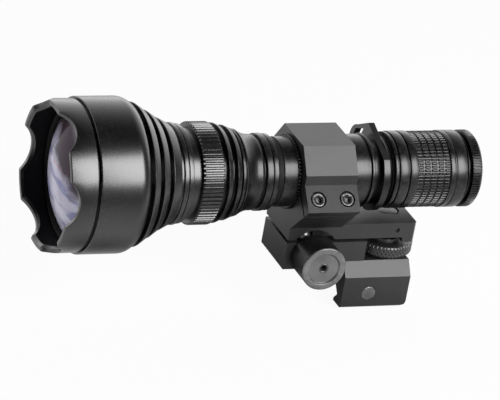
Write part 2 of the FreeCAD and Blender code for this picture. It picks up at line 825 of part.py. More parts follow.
# Tail cap: bands, five rows of ribs, a waist and a ribbed end, over the switch chamber.
tail_cap = on_torch("tail_cap")
tail_front_end = tail_front + s.tail_front_length
tail_band_front = tail_front_end + s.neck_line
tail_band_rear = tail_band_front + s.tail_band_length
tail_ring_front = tail_band_rear + s.tail_groove_length
knurl_front = tail_ring_front + s.tail_ring_band
knurl_rear = knurl_front + s.knurl_length
plain_rear = knurl_rear + s.tail_plain_length
wide_front = plain_rear + s.neck_line
wide_rear = wide_front + s.tail_wide_length
tail_waist_front = wide_rear + s.neck_line
tail_waist_rear = tail_waist_front + s.tail_waist_length
chamber_rear = tail_inside
turn(tail_cap, [
    (tail_front, clear_of(s.thread_radius)),
    (tail_front, s.tail_front_radius),
    (tail_front_end, s.tail_front_radius),
    (tail_front_end, s.tail_groove_radius),
    (tail_band_front, s.tail_groove_radius),
    (tail_band_front, s.tail_radius),
    (tail_band_rear, s.tail_radius),
    (tail_band_rear, s.tail_groove_radius),
    (tail_ring_front, s.tail_groove_radius),
    (tail_ring_front, s.tail_radius),
    (knurl_front, s.tail_radius),
    (knurl_front, s.knurl_radius),
    (knurl_rear, s.knurl_radius),
    (knurl_rear, s.tail_radius),
    (plain_rear, s.tail_radius),
    (plain_rear, s.tail_groove_radius),
    (wide_front, s.tail_groove_radius),
    (wide_front, s.tail_radius),
    (wide_rear, s.tail_radius),
    (wide_rear, s.tail_waist_radius),
    (tail_waist_rear, s.tail_waist_radius),
    (tail_waist_rear, s.tail_radius),
    (tail_end - s.tail_edge, s.tail_radius),
    (tail_end, s.tail_radius - s.tail_edge),
    (tail_end, s.button_radius + s.button_gap),
    (tail_inside, s.button_radius + s.button_gap),
    (tail_inside, s.switch_bore),
    (tube_end + 1, s.switch_bore),
    (tube_end + 1, clear_of(s.thread_radius)),
])
knurl(tail_cap, s.tail_radius, s.knurl_depth, s.tail_end_knurl_count, tail_waist_rear, tail_end)
knurl(tail_cap, s.knurl_radius, s.knurl_depth, s.knurl_count, knurl_front, knurl_rear)
row_pitch = (s.knurl_length + s.knurl_row_gap) / s.knurl_rows
row_gap = sketch_on(tail_cap, "XZ_Plane")
first_gap = knurl_front + row_pitch - s.knurl_row_gap
draw(row_gap, rectangle(first_gap, first_gap + s.knurl_row_gap, s.knurl_radius - s.knurl_depth,
                        s.knurl_radius + 0.2))
row_groove = tail_cap.newObject("PartDesign::Groove", "tail_row_groove")
row_groove.Profile = row_gap
row_groove.ReferenceAxis = (row_gap, ["H_Axis"])
row_groove.Angle = 360
rows = tail_cap.newObject("PartDesign::LinearPattern", "tail_rows")
rows.Originals = [row_groove]
x_axis = [item for item in tail_cap.Origin.OriginFeatures if item.Role == "X_Axis"][0]
rows.Direction = (x_axis, [""])
bind(rows, "Length", row_pitch * (s.knurl_rows - 2))
bind(rows, "Occurrences", s.knurl_rows - 1)
tail_cap.Tip = rows

# Switch: rubber button, switch module and threaded retainer in the tail cap, spring to the cell.
flange_front = tail_inside - s.button_flange_length
turn(on_torch("switch_button"), [
    (flange_front, 0),
    (flange_front, s.button_flange),
    (tail_inside, s.button_flange),
    (tail_inside, s.button_radius),
    (tail_end - s.button_recess - 1, s.button_radius),
    (tail_end - s.button_recess, s.button_radius - 1),
    (tail_end - s.button_recess, 0),
])
switch_rear = flange_front - s.button_travel - s.sliding_gap
switch_front = switch_rear - s.switch_length
retainer_front = switch_front - s.retainer_length
turn(on_torch("switch_module"), [
    (switch_front, 0),
    (switch_front, s.switch_bore - s.running_gap),
    (switch_front + s.retainer_length, s.switch_bore - s.running_gap),
    (switch_front + s.retainer_length, s.switch_radius),
    (switch_rear, s.switch_radius),
    (switch_rear, 0),
])
tube(on_torch("switch_retainer"), retainer_front, switch_front, s.switch_radius - 2,
     s.switch_bore - s.running_gap)
turn(on_torch("tail_spring"), [
    (cell_rear, s.spring_radius - s.spring_wall),
    (cell_rear, s.spring_radius),
    (switch_front, s.spring_radius + s.spring_wall),
    (switch_front, s.spring_radius),
])

# Cradle: the pinch ring and the tilting plate in one piece, with the elevation hinge under its front.
cradle = new_body("cradle")
cradle_front = clamp_front - s.ring_to_foot
cradle_back = clamp_rear - s.ring_to_foot
wheel_x = s.wheel_from_ring - s.ring_to_foot
hinge_x = cradle_front + s.hinge_from_front
knob_x = s.knob_from_ring - s.ring_to_foot
lug_plane = s.lug_face / diagonal
side_plane = s.lug_side / diagonal
axis = axis_height
plate_rear = wheel_x + s.plate_rear_reach
pad(cradle, "YZ_Plane", [
    (-s.clamp_top_half, axis + s.clamp_top),
    (-s.clamp_cheek, axis + s.clamp_cheek_top),
    (-s.clamp_cheek, axis + lug_plane - s.clamp_cheek),
    (-(lug_plane + side_plane) / 2, axis + (lug_plane - side_plane) / 2),
    (-s.plate_half, axis - side_plane + s.plate_half),
    (-s.plate_half, plate_bottom),
    (s.plate_half, plate_bottom),
    (s.plate_half, axis - side_plane + s.plate_half),
    (s.clamp_cheek, axis - s.clamp_cheek_top),
    (s.clamp_cheek, axis + s.clamp_cheek_top),
    (s.clamp_top_half, axis + s.clamp_top),
], cradle_front, cradle_back)
pad(cradle, "XY_Plane", [
    (cradle_front, -s.plate_half),
    (plate_rear - s.plate_corner, -s.plate_half),
    (plate_rear, -s.plate_half + s.plate_corner),
    (plate_rear, s.plate_half - s.plate_corner),
    (plate_rear - s.plate_corner, s.plate_half),
    (cradle_front, s.plate_half),
], plate_bottom, plate_top)
pad(cradle, "XY_Plane", [
    (wheel_x + s.skirt_start, -s.plate_half),
    (plate_rear - s.plate_corner, -s.plate_half),
    (plate_rear, -s.plate_half + s.plate_corner),
    (plate_rear, s.plate_half - s.plate_corner),
    (plate_rear - s.plate_corner, s.plate_half),
    (wheel_x + s.skirt_start, s.plate_half),
], plate_bottom - s.skirt_drop, plate_bottom)
cut_circle(cradle, "XY_Plane", wheel_x, 0, s.skirt_round, plate_bottom - s.skirt_drop, plate_bottom)
cut_circle(cradle, "YZ_Plane", 0, axis, clear_of(s.tube_radius), cradle_front, cradle_back)
slit_top = s.lug_face - s.lug_thickness
slit_low = slit_top - s.lug_slit
slit_in = s.tube_radius * 0.6
slit_out = s.lug_side + 2


def tilted(across, height):
    # a point of the ring's section, given along the lug's face and square to it
    return (-(across + height) * diagonal, axis + (height - across) * diagonal)


cut(cradle, "YZ_Plane", [
    tilted(slit_in, slit_low),
    tilted(slit_out, slit_low),
    tilted(slit_out, slit_top),
    tilted(slit_in, slit_top),
], cradle_front, cradle_back)


def cut_square_to_lug(body, radius, low, high):
    sketch = sketch_on(body, "XY_Plane")
    sketch.AttachmentOffset = FreeCAD.Placement(
        FreeCAD.Vector(), FreeCAD.Rotation(FreeCAD.Vector(1, 0, 0), 45))
    bind(sketch, ".AttachmentOffset.Base.y", -high * diagonal)
    bind(sketch, ".AttachmentOffset.Base.z", axis + high * diagonal)
    for side in (-1, 1):
        x = side * s.clamp_screw_spacing / 2 - s.ring_to_foot
        draw_circle(sketch, x, -s.clamp_screw_line, radius)
    return extrude(body, "PartDesign::Pocket", sketch, high - low)


cut_square_to_lug(cradle, s.screw_sink_radius, s.lug_face - s.screw_head_length, s.lug_face + 1)
cut_square_to_lug(cradle, clear_of(s.clamp_screw_radius), slit_top, s.lug_face)
cut_square_to_lug(cradle, s.clamp_screw_radius, slit_low - s.clamp_screw_depth, slit_low)
nut_low = plate_bottom
cut_circle(cradle, "XY_Plane", wheel_x, 0, s.nut_radius + s.running_gap, nut_low, plate_top)
cut_circle(cradle, "XY_Plane", wheel_x, 0, s.nut_radius + s.nut_rim_gap,
           plate_top - s.nut_rim_depth, plate_top)
cut_circle(cradle, "XZ_Plane", wheel_x, cross_pin_height, s.cross_pin_radius, -s.plate_half, s.plate_half)
pad_circle(cradle, "XZ_Plane", hinge_x, hinge_height, s.knuckle_radius, -s.knuckle_half, s.knuckle_half)
ear_in = s.knuckle_half + s.ear_gap
ear_out = ear_in + s.ear_thickness
ear_room = s.knuckle_radius + s.ear_headroom
for side in (-1, 1):
    inside = side * s.knuckle_half
    outside = side * (ear_out + s.ear_gap)
    low, high = (outside, inside) if side < 0 else (inside, outside)
    cut(cradle, "XY_Plane", rectangle(hinge_x - ear_room, hinge_x + ear_room, low, high),
        plate_bottom, hinge_height + ear_room)
cut_circle(cradle, "XZ_Plane", hinge_x, hinge_height, clear_of(s.hinge_pin_radius),
           -ear_out - s.ear_gap, ear_out + s.pin_proud + s.ear_gap)
cut_circle(cradle, "XZ_Plane", knob_x, s.knob_height, s.arch_radius, ear_out + s.ear_gap, s.plate_half)

# Two socket-head screws pinch the ring's lug.
screw_seat = s.lug_face - s.screw_head_length
screw_list = []
for side in (-1, 1):
    screw = new_body("clamp_screw_%s" % ("front" if side < 0 else "rear"), upwards)
    pieces.remove(screw)
    head_top = s.lug_face
    turn(screw, [
        (slit_low - s.clamp_screw_depth + 0.5, 0),
        (slit_low - s.clamp_screw_depth + 0.5, s.clamp_screw_radius),
        (screw_seat, s.clamp_screw_radius),
        (screw_seat, s.screw_head_radius),
        (head_top, s.screw_head_radius),
        (head_top, 0),
    ])
    cut_hexagon(screw, "YZ_Plane", 0, 0, s.screw_socket_width, head_top - 1.6, head_top)
    tilt = FreeCAD.Rotation(FreeCAD.Vector(1, 0, 0), 45).multiply(upwards)
    screw.Placement = FreeCAD.Placement(FreeCAD.Vector(), tilt)
    bind(screw, ".Placement.Base.x", side * s.clamp_screw_spacing / 2 - s.ring_to_foot)
    bind(screw, ".Placement.Base.y", -s.clamp_screw_line * diagonal)
    bind(screw, ".Placement.Base.z", axis - s.clamp_screw_line * diagonal)
    screw_list.append(screw)
clamp_screws = document.addObject("Part::Compound", "clamp_screws")
clamp_screws.Label = "clamp_screws"
clamp_screws.Links = screw_list
pieces.append(clamp_screws)

# Elevation: a knurled wheel on a screw turns in a barrel nut that a cross pin holds in the plate.
wheel_foot = s.keel_top + 0.1
wheel_low = wheel_foot + s.wheel_foot_height
wheel_high = wheel_low + s.wheel_thickness
hub_high = wheel_high + s.wheel_hub_height
wheel_neck_high = hub_high + s.wheel_neck_height
elevation_wheel = new_body("elevation_wheel", upwards, wheel_x)
turn(elevation_wheel, [
    (wheel_foot, s.elevation_screw_radius),
    (wheel_foot, s.wheel_foot_radius),
    (wheel_low, s.wheel_foot_radius),
    (wheel_low, s.wheel_radius - 0.5),
    (wheel_low + 0.5, s.wheel_radius),
    (wheel_high - 0.5, s.wheel_radius),
    (wheel_high, s.wheel_radius - 0.5),
    (wheel_high, s.wheel_hub_radius),
    (hub_high, s.wheel_hub_radius),
    (hub_high, s.wheel_neck_radius),
    (wheel_neck_high, s.wheel_neck_radius),
    (wheel_neck_high, s.elevation_screw_radius),
])
knurl(elevation_wheel, s.wheel_radius, s.wheel_rib_depth, s.wheel_rib_count, wheel_low, wheel_high)
elevation_screw = new_body("elevation_screw", upwards, wheel_x)
nut_inside = plate_top - s.nut_cap
screw_top = nut_inside - 1
keel_bottom = s.recess_floor + s.sliding_gap
turn(elevation_screw, [
    (keel_bottom + 0.2, 0),
    (keel_bottom + 0.2, s.journal_radius),
    (wheel_foot, s.journal_radius),
    (wheel_foot, s.elevation_screw_radius),
    (screw_top, s.elevation_screw_radius),
    (screw_top, 0),
])
tube(new_body("elevation_clip", upwards, wheel_x), keel_bottom + 0.3,
     keel_bottom + 0.3 + s.clip_thickness, s.journal_radius, s.clip_radius)
elevation_nut = new_body("elevation_nut", upwards, wheel_x)
turn(elevation_nut, [
    (nut_low, s.elevation_screw_radius + s.nut_play),
    (nut_low, s.nut_radius),
    (plate_top - 0.2, s.nut_radius),
    (plate_top - 0.2, 0),
    (nut_inside, 0),
    (nut_inside, s.elevation_screw_radius + s.nut_play),
])
# the pin crosses each side of the plate and stops short of the screw
pin_stop = s.elevation_screw_radius + s.nut_play
for side in (-1, 1):
    low, high = (-s.nut_radius, -pin_stop) if side < 0 else (pin_stop, s.nut_radius)
    cut_circle(elevation_nut, "XZ_Plane", cross_pin_height, 0, s.cross_pin_radius, low, high)
pin_list = []
for side, turned in ((-1, towards_knob), (1, away_from_knob)):
    pin = new_body("cross_pin_%s" % ("near" if side < 0 else "far"), turned, wheel_x, 0, cross_pin_height)
    pieces.remove(pin)
    turn(pin, rectangle(pin_stop, s.plate_half - s.cross_pin_recess, 0, s.cross_pin_radius))
    pin_list.append(pin)
cross_pins = document.addObject("Part::Compound", "elevation_cross_pins")
cross_pins.Label = "elevation_cross_pins"
cross_pins.Links = pin_list
pieces.append(cross_pins)

# Carriage: swings on the foot's pivot, holds the windage screw in its cheeks and the hinge ears on top.
carriage = new_body("carriage")
carriage_rear = s.carriage_rear - s.ring_to_foot
foot_front = -s.foot_length / 2
channel_rear = foot_front + s.keel_rear
pad(carriage, "XZ_Plane", [
    (cradle_front, s.carriage_bottom),
    (foot_front - 0.7, s.carriage_bottom),
    (foot_front - 0.7, s.foot_top + s.sliding_gap),
    (carriage_rear, s.foot_top + s.sliding_gap),
    (carriage_rear, s.carriage_top),
    (cradle_front, s.carriage_top),
], -s.plate_half, s.plate_half)
pad(carriage, "XY_Plane", rectangle(channel_rear, -foot_front, -s.keel_half, s.keel_half),
    keel_bottom, s.keel_top)
pad(carriage, "XY_Plane", rectangle(channel_rear, carriage_rear, -s.keel_half, s.keel_half),
    s.keel_top, s.carriage_top)
cut(carriage, "XY_Plane", rectangle(cradle_front + s.channel_wall, channel_rear, -s.channel_half,
                                    s.channel_half), s.carriage_bottom, s.channel_top)
window = s.knuckle_half + s.ear_gap
cut(carriage, "XY_Plane", rectangle(hinge_x - ear_room, hinge_x + ear_room, -window, window),
    s.channel_top, s.carriage_top)
for side in (-1, 1):
    inside = side * ear_in
    outside = side * ear_out
    low, high = (outside, inside) if side < 0 else (inside, outside)
    pad(carriage, "XZ_Plane", rectangle(hinge_x - s.knuckle_radius, hinge_x + s.knuckle_radius,
                                        s.carriage_top - 1, hinge_height), low, high)
    pad_circle(carriage, "XZ_Plane", hinge_x, hinge_height, s.knuckle_radius, low, high)
cut_circle(carriage, "XZ_Plane", hinge_x, hinge_height, s.hinge_pin_radius, -ear_out, ear_out)
cut_circle(carriage, "XZ_Plane", knob_x, s.knob_height, clear_of(s.windage_screw_radius),
           -s.plate_half, s.plate_half)
cut_circle(carriage, "XY_Plane", -s.pivot_from_foot, 0, clear_of(s.pivot_radius), keel_bottom,
           s.pivot_top + s.sliding_gap)
cut_circle(carriage, "XY_Plane", wheel_x, 0, clear_of(s.journal_radius), keel_bottom, s.keel_top)
cut_circle(carriage, "XY_Plane", wheel_x, 0, s.clip_radius + 0.3, keel_bottom,
           keel_bottom + 0.3 + s.clip_thickness + 0.1)
hinge_pin = new_body("hinge_pin", towards_knob, hinge_x, 0, hinge_height)
turn(hinge_pin, rectangle(-ear_out, ear_out + s.pin_proud, 0, s.hinge_pin_radius))

# Windage: the knob turns the screw in the carriage's cheeks, through a nut in the foot's nose.
knob_root = s.plate_half + 0.3
knob_end = knob_root + s.knob_length
windage_knob = new_body("windage_knob", towards_knob, knob_x, 0, s.knob_height)
turn(windage_knob, [
    (knob_root, s.windage_screw_radius),
    (knob_root, s.knob_radius - 0.3),
    (knob_root + 0.3, s.knob_radius),
    (knob_end - 0.4, s.knob_radius),
    (knob_end, s.knob_radius - 0.4),
    (knob_end, s.knob_face_radius),
    (knob_end - s.knob_face_recess, s.knob_face_radius - 0.5),
    (knob_end - s.knob_face_recess, s.windage_screw_radius),
])
knurl(windage_knob, s.knob_radius, s.knob_rib_depth, s.knob_rib_count, knob_root, knob_end - 1)
windage_screw = new_body("windage_screw", towards_knob, knob_x, 0, s.knob_height)
clip_inner = s.plate_half + 0.2
screw_back = clip_inner + s.windage_clip_length + 0.6
turn(windage_screw, rectangle(-screw_back, knob_end - s.knob_face_recess, 0, s.windage_screw_radius))
cut_hexagon(windage_screw, "YZ_Plane", 0, 0, s.knob_hex_width,
            knob_end - s.knob_face_recess - s.knob_hex_depth, knob_end - s.knob_face_recess)
tube(new_body("windage_clip", away_from_knob, knob_x, 0, s.knob_height), clip_inner,
     clip_inner + s.windage_clip_length, s.windage_screw_radius, s.windage_clip_radius)
windage_nut = new_body("windage_nut", upwards, knob_x)
turn(windage_nut, rectangle(s.nose_bottom, s.nose_top, 0, s.windage_nut_radius))
cut_circle(windage_nut, "XZ_Plane", s.knob_height, 0, s.windage_screw_radius + s.windage_nut_play,
           -s.windage_nut_radius, s.windage_nut_radius)


def round_jaw_end(body):
    # the lower rear corner is rounded
    low = -s.jaw_drop
    cut(body, "XZ_Plane", [
        (foot_rear - s.jaw_rear_round, low),
        (foot_rear - s.jaw_rear_round, low - 1),
        (foot_rear + 1, low - 1),
        (foot_rear + 1, low + s.jaw_rear_round),
        (foot_rear, low + s.jaw_rear_round),
    ], -s.foot_half, s.foot_half, {4: (s.jaw_rear_round, 1)})


# Foot: the fixed jaw and seat for the rail, the shoulder above it and the nose inside the carriage.
rail_foot = new_body("rail_foot")
foot_rear = s.foot_length / 2
pad(rail_foot, "YZ_Plane", [
    (-s.foot_top_half, s.foot_top),
    (-s.foot_half, s.shoulder_height),
    (-s.foot_half, -s.jaw_drop + s.jaw_edge),
    (-s.foot_half + s.jaw_edge, -s.jaw_drop),
    (-s.rail_under_half, -s.jaw_drop),
    (-s.rail_under_half, -s.rail_under),
    (-s.rail_half, -s.rail_widest),
    (-s.rail_top_half, 0),
    (s.jaw_face - s.sliding_gap, 0),
    (s.jaw_face - s.sliding_gap, s.jaw_top + s.sliding_gap),
    (s.foot_half, s.jaw_top + s.sliding_gap),
    (s.foot_half, s.shoulder_height),
    (s.foot_top_half, s.foot_top),
], foot_front, foot_rear)
nose_front = foot_front - s.nose_reach
pad(rail_foot, "XZ_Plane", [
    (nose_front, s.nose_bottom),
    (foot_front - s.nose_root_length - (s.nose_bottom - s.nose_root), s.nose_bottom),
    (foot_front - s.nose_root_length, s.nose_root),
    (foot_front, s.nose_root),
    (foot_front, s.nose_top),
    (nose_front, s.nose_top),
], -s.nose_half, s.nose_half)
cut(rail_foot, "YZ_Plane", rectangle(-s.recess_half, s.recess_half, s.recess_floor, s.foot_top + 1),
    foot_front, foot_rear)
round_jaw_end(rail_foot)
cut_circle(rail_foot, "XY_Plane", knob_x, 0, s.windage_nut_radius, s.nose_bottom, s.nose_top)
cut_circle(rail_foot, "XZ_Plane", knob_x, s.knob_height, s.windage_screw_radius + s.windage_nut_play,
           -s.nose_half, s.nose_half)
cut_circle(rail_foot, "XY_Plane", -s.pivot_from_foot, 0, s.pivot_radius, 0, s.recess_floor)
cut_circle(rail_foot, "XY_Plane", -s.pivot_from_foot, 0, s.pivot_head_radius, 0, s.pivot_head_length + 0.3)
bolt_x = -s.bolt_from_foot
cut_circle(rail_foot, "XZ_Plane", bolt_x, s.bolt_height, s.bolt_radius + s.bolt_clearance, -s.foot_half,
           s.foot_half)
cut_circle(rail_foot, "XZ_Plane", bolt_x, s.bolt_height, s.bolt_head_radius,
           s.foot_half - s.bolt_head_length, s.foot_half)
turn(new_body("pivot_screw", upwards, -s.pivot_from_foot), [
    (0.3, 0),
    (0.3, s.pivot_head_radius),
    (s.pivot_head_length + 0.3, s.pivot_head_radius),
    (s.pivot_head_length + 0.3, s.pivot_radius),
    (s.pivot_top, s.pivot_radius),
    (s.pivot_top, 0),
])

# Clamp: the sliding jaw, the cross bolt that also takes the recoil, and its coin-slotted nut.
clamp_jaw = new_body("clamp_jaw")
pad(clamp_jaw, "YZ_Plane", [
    (s.jaw_face, s.jaw_top),
    (s.jaw_face, -0.1),
    (s.rail_half, -s.rail_widest),
    (s.rail_under_half, -s.rail_under),
    (s.rail_under_half, -s.jaw_drop),
    (s.foot_half - s.jaw_edge, -s.jaw_drop),
    (s.foot_half, -s.jaw_drop + s.jaw_edge),
    (s.foot_half, s.jaw_top),
], foot_front, foot_rear)
round_jaw_end(clamp_jaw)
cut_circle(clamp_jaw, "XZ_Plane", bolt_x, s.bolt_height, clear_of(s.bolt_radius), -s.foot_half, 0)
turn(new_body("clamp_bolt", towards_knob, bolt_x, 0, s.bolt_height), [
    (-s.bolt_end, 0),
    (-s.bolt_end, s.bolt_radius),
    (s.foot_half - s.bolt_head_length, s.bolt_radius),
    (s.foot_half - s.bolt_head_length, s.bolt_head_radius),
    (s.foot_half, s.bolt_head_radius),
    (s.foot_half, 0),
])
nut_face = s.foot_half + s.running_gap
nut_end = nut_face + s.clamp_nut_length
clamp_nut = new_body("clamp_nut", away_from_knob, bolt_x, 0, s.bolt_height)
turn(clamp_nut, [
    (nut_face, clear_of(s.bolt_radius)),
    (nut_face, s.clamp_nut_radius),
    (nut_end - 0.6, s.clamp_nut_radius),
    (nut_end, s.clamp_nut_radius - 0.6),
    (nut_end, clear_of(s.bolt_radius)),
])
coin_half = s.coin_slot_width / 2
cut(clamp_nut, "YZ_Plane", rectangle(-s.clamp_nut_radius - 1, s.clamp_nut_radius + 1, -coin_half, coin_half),
    nut_end - s.coin_slot_depth, nut_end)
knurl(clamp_nut, s.clamp_nut_radius, s.clamp_nut_rib_depth, s.clamp_nut_rib_count, nut_face + 1, nut_end)

document.recompute()
for item in document.Objects:
    if "Invalid" in item.State or "Error" in item.State:
        raise RuntimeError("%s did not build" % item.Name)
for piece in pieces:
    if piece.Shape.isNull() or not piece.Shape.isValid():
        raise RuntimeError("%s has no valid shape" % piece.Label)
os.makedirs("parts", exist_ok=True)
for piece in pieces:
    piece.Shape.exportStep("parts/%s.step" % piece.Label)
    print(piece.Label, len(piece.Shape.Solids), round(piece.Shape.Volume, 1))
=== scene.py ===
import math
import bmesh
import bpy
from mathutils import Matrix, Vector


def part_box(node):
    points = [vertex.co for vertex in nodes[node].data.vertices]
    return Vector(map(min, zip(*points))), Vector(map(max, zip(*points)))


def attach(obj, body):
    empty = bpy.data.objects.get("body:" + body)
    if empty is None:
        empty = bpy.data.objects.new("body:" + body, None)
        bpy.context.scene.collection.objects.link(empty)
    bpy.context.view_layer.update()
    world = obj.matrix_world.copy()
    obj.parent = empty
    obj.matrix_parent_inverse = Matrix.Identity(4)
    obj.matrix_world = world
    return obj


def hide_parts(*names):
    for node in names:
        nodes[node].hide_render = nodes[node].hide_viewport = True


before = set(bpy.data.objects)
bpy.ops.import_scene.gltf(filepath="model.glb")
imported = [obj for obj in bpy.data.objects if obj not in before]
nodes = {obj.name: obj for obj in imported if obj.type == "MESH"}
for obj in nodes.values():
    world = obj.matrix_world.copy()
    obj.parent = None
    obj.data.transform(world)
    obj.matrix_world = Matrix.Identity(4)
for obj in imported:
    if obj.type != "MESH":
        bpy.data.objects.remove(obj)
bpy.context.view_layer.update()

mm = 0.001
print("frame loaded:", len(nodes), "parts")

# Where things stand, in millimetres; the torch's own pieces are measured from the middle of the pinch ring.
layout = {
    "ringAt": -28.9,
    "axisHeight": 46.0,
    "wheelAt": 6.3,
    "knobAt": -28.2,
    "knobHeight": 15.5,
    "hingeAt": -31.9,
    "hingeHeight": 22.4,
    "boltAt": -2.8,
    "boltHeight": -0.6,
    "pivotAt": -9.7,
}


def axisFrame(origin, forward, upward):
    forward = Vector(forward).normalized()
    upward = Vector(upward).normalized()
    sideways = upward.cross(forward)
    turn = Matrix((forward, sideways, upward)).transposed().to_4x4()
    return Matrix.Translation(Vector(origin)) @ turn


torchFrame = axisFrame((layout["ringAt"], 0, layout["axisHeight"]), (1, 0, 0), (0, 0, 1))
wheelFrame = axisFrame((layout["wheelAt"], 0, 0), (0, 0, 1), (1, 0, 0))
knobFrame = axisFrame((layout["knobAt"], 0, layout["knobHeight"]), (0, -1, 0), (0, 0, 1))


# Mesh helpers

def softened(outline, radius=0.25, cuts=3):
    # rounds the corners of an outline of (x, r) and says which points lie on a rounded edge
    count = len(outline)
    result = []
    for i, here in enumerate(outline):
        size = here[2] if len(here) > 2 else radius
        here = Vector(here[:2])
        before = Vector(outline[i - 1][:2])
        after = Vector(outline[(i + 1) % count][:2])
        toBefore, toAfter = before - here, after - here
        if size <= 0 or here.y <= 1e-6 or toBefore.length < 1e-6 or toAfter.length < 1e-6:
            result.append((here.x, here.y, 0.0))
            continue
        dirBefore, dirAfter = toBefore.normalized(), toAfter.normalized()
        opening = dirBefore.angle(dirAfter, math.pi)
        if opening > math.radians(172):
            result.append((here.x, here.y, 0.0))
            continue
        reach = min(size / math.tan(opening / 2), toBefore.length * 0.46, toAfter.length * 0.46)
        turnSign = dirBefore.cross(dirAfter)
        start, end = here + dirBefore * reach, here + dirAfter * reach
        for k in range(cuts + 1):
            t = k / cuts
            point = start * (1 - t) ** 2 + here * 2 * t * (1 - t) + end * t ** 2
            # convex rounds get the mark for paler edges, partly wear and partly a painted highlight
            mark = (0.35 + 0.65 * math.sin(math.pi * t)) if turnSign > 0 else -0.4
            result.append((point.x, point.y, mark))
    return result


def arcBetween(start, end, radius, side, steps=10):
    # points of an arc between two stations, bulging outwards for side 1 and inwards for side -1
    start, end = Vector(start), Vector(end)
    chord = end - start
    half = chord.length / 2
    across = Vector((-chord.y, chord.x)).normalized() * side
    centre = (start + end) / 2 - across * math.sqrt(radius * radius - half * half)
    opening = math.asin(half / radius)
    middle = math.atan2(across.y, across.x)
    turns = [middle + opening * side * (1 - 2 * k / steps) for k in range(steps + 1)]
    return [(centre.x + radius * math.cos(t), centre.y + radius * math.sin(t), 0) for t in turns]


def makePiece(name, vertices, faces, marks=None, smoothAngle=35):
    mesh = bpy.data.meshes.new(name)
    mesh.from_pydata(vertices, [], faces)
    if marks:
        wearAndHighlight = mesh.attributes.new("edgeWearAndHighlight", "FLOAT", "POINT")
        wearAndHighlight.data.foreach_set("value", marks)
    work = bmesh.new()
    work.from_mesh(mesh)
    bmesh.ops.remove_doubles(work, verts=work.verts, dist=2e-6)
    bmesh.ops.dissolve_degenerate(work, edges=work.edges, dist=1e-7)
    bmesh.ops.recalc_face_normals(work, faces=work.faces)
    work.to_mesh(mesh)
    work.free()
    mesh.polygons.foreach_set("use_smooth", [True] * len(mesh.polygons))
    mesh.set_sharp_from_angle(angle=math.radians(smoothAngle))
    piece = bpy.data.objects.new(name, mesh)
    bpy.context.scene.collection.objects.link(piece)
    return piece


def turned(name, place, outline, steps=160, shape=None, smoothAngle=35):
    # a closed outline swept around the local X axis; shape may move a point as (angle, x, r) to (x, r)
    count = len(outline)
    vertices, faces, marks = [], [], []
    for step in range(steps):
        angle = 2 * math.pi * step / steps
        across, upward = math.cos(angle), math.sin(angle)
        for x, r, mark in outline:
            if shape:
                x, r = shape(angle, x, r)
            vertices.append((place @ Vector((x, r * across, r * upward))) * mm)
            marks.append(mark)
    for step in range(steps):
        here, after = step * count, ((step + 1) % steps) * count
        for i in range(count):
            j = (i + 1) % count
            if outline[i][1] < 1e-6 and outline[j][1] < 1e-6:
                continue
            faces.append((here + i, here + j, after + j, after + i))
    return makePiece(name, vertices, faces, marks, smoothAngle)


def ribs(count, floor, fromX, toX, landShare=0.45, rampShare=0.16, offset=0.0):
    # straight ribs between two stations: lands at the full radius, grooves at the floor radius
    def shape(angle, x, r):
        if r <= floor or x < fromX - 1e-4 or x > toX + 1e-4:
            return x, r
        phase = (angle * count / (2 * math.pi) + offset) % 1.0
        away = abs(phase - 0.5) - landShare / 2
        lift = 1.0 - min(max(away / rampShare, 0.0), 1.0)
        lift = lift * lift * (3 - 2 * lift)
        return x, floor + (r - floor) * lift
    return shape


def drawn(name, place, outline, low, high):
    # a prism of a flat outline in the local YZ plane, from low to high along local X
    count = len(outline)
    vertices = [(place @ Vector((x, y, z))) * mm for x in (low, high) for y, z in outline]
    faces = [tuple(range(count)), tuple(range(2 * count - 1, count - 1, -1))]
    faces += [(i, (i + 1) % count, count + (i + 1) % count, count + i) for i in range(count)]
    return makePiece(name, vertices, faces)


def circlePoints(radius, steps):
    turns = [2 * math.pi * i / steps for i in range(steps)]
    return [(radius * math.cos(t), radius * math.sin(t)) for t in turns]


def settle(piece):
    # applies the modifiers of a piece to its mesh
    bpy.context.view_layer.update()
    graph = bpy.context.evaluated_depsgraph_get()
    mesh = bpy.data.meshes.new_from_object(piece.evaluated_get(graph))
    piece.modifiers.clear()
    piece.data = mesh
    return piece


def carve(piece, cutters):
    for cutter in cutters:
        boolean = piece.modifiers.new("carve", "BOOLEAN")
        boolean.operation = "DIFFERENCE"
        boolean.solver = "EXACT"
        boolean.object = cutter
    settle(piece)
    for cutter in cutters:
        bpy.data.objects.remove(cutter)
    return piece


def breakEdges(piece, width, cuts=2, minAngle=28, smoothAngle=35):
    # small round on every sharp edge, as tumbling and anodising leave it, with the faces kept flat
    bevel = piece.modifiers.new("edges", "BEVEL")
    bevel.width = width * mm
    bevel.segments = cuts
    bevel.limit_method = "ANGLE"
    bevel.angle_limit = math.radians(minAngle)
    bevel.use_clamp_overlap = True
    settle(piece)
    mesh = piece.data
    mesh.polygons.foreach_set("use_smooth", [True] * len(mesh.polygons))
    mesh.set_sharp_from_angle(angle=math.radians(smoothAngle))
    weighted = piece.modifiers.new("flatFaces", "WEIGHTED_NORMAL")
    weighted.mode = "FACE_AREA"
    weighted.weight = 90
    weighted.keep_sharp = True
    return settle(piece)


def markEdges(piece):
    # marks the narrow faces along convex edges, for the paler edges there: partly wear, partly a painted highlight
    work = bmesh.new()
    work.from_mesh(piece.data)
    bends = [max((edge.calc_face_angle_signed(0) for edge in vertex.link_edges if len(edge.link_faces) == 2),
                 default=0) for vertex in work.verts]
    marks = []
    for face in work.faces:
        width = face.calc_area() / max(edge.calc_length() for edge in face.edges)
        convex = min(bends[vertex.index] for vertex in face.verts) > 0.15
        marks.append(1.0 if width < 0.3 * mm and convex else 0.0)
    work.free()
    wearAndHighlight = piece.data.attributes.new("edgeWearAndHighlight", "FLOAT", "FACE")
    wearAndHighlight.data.foreach_set("value", marks)
    return piece


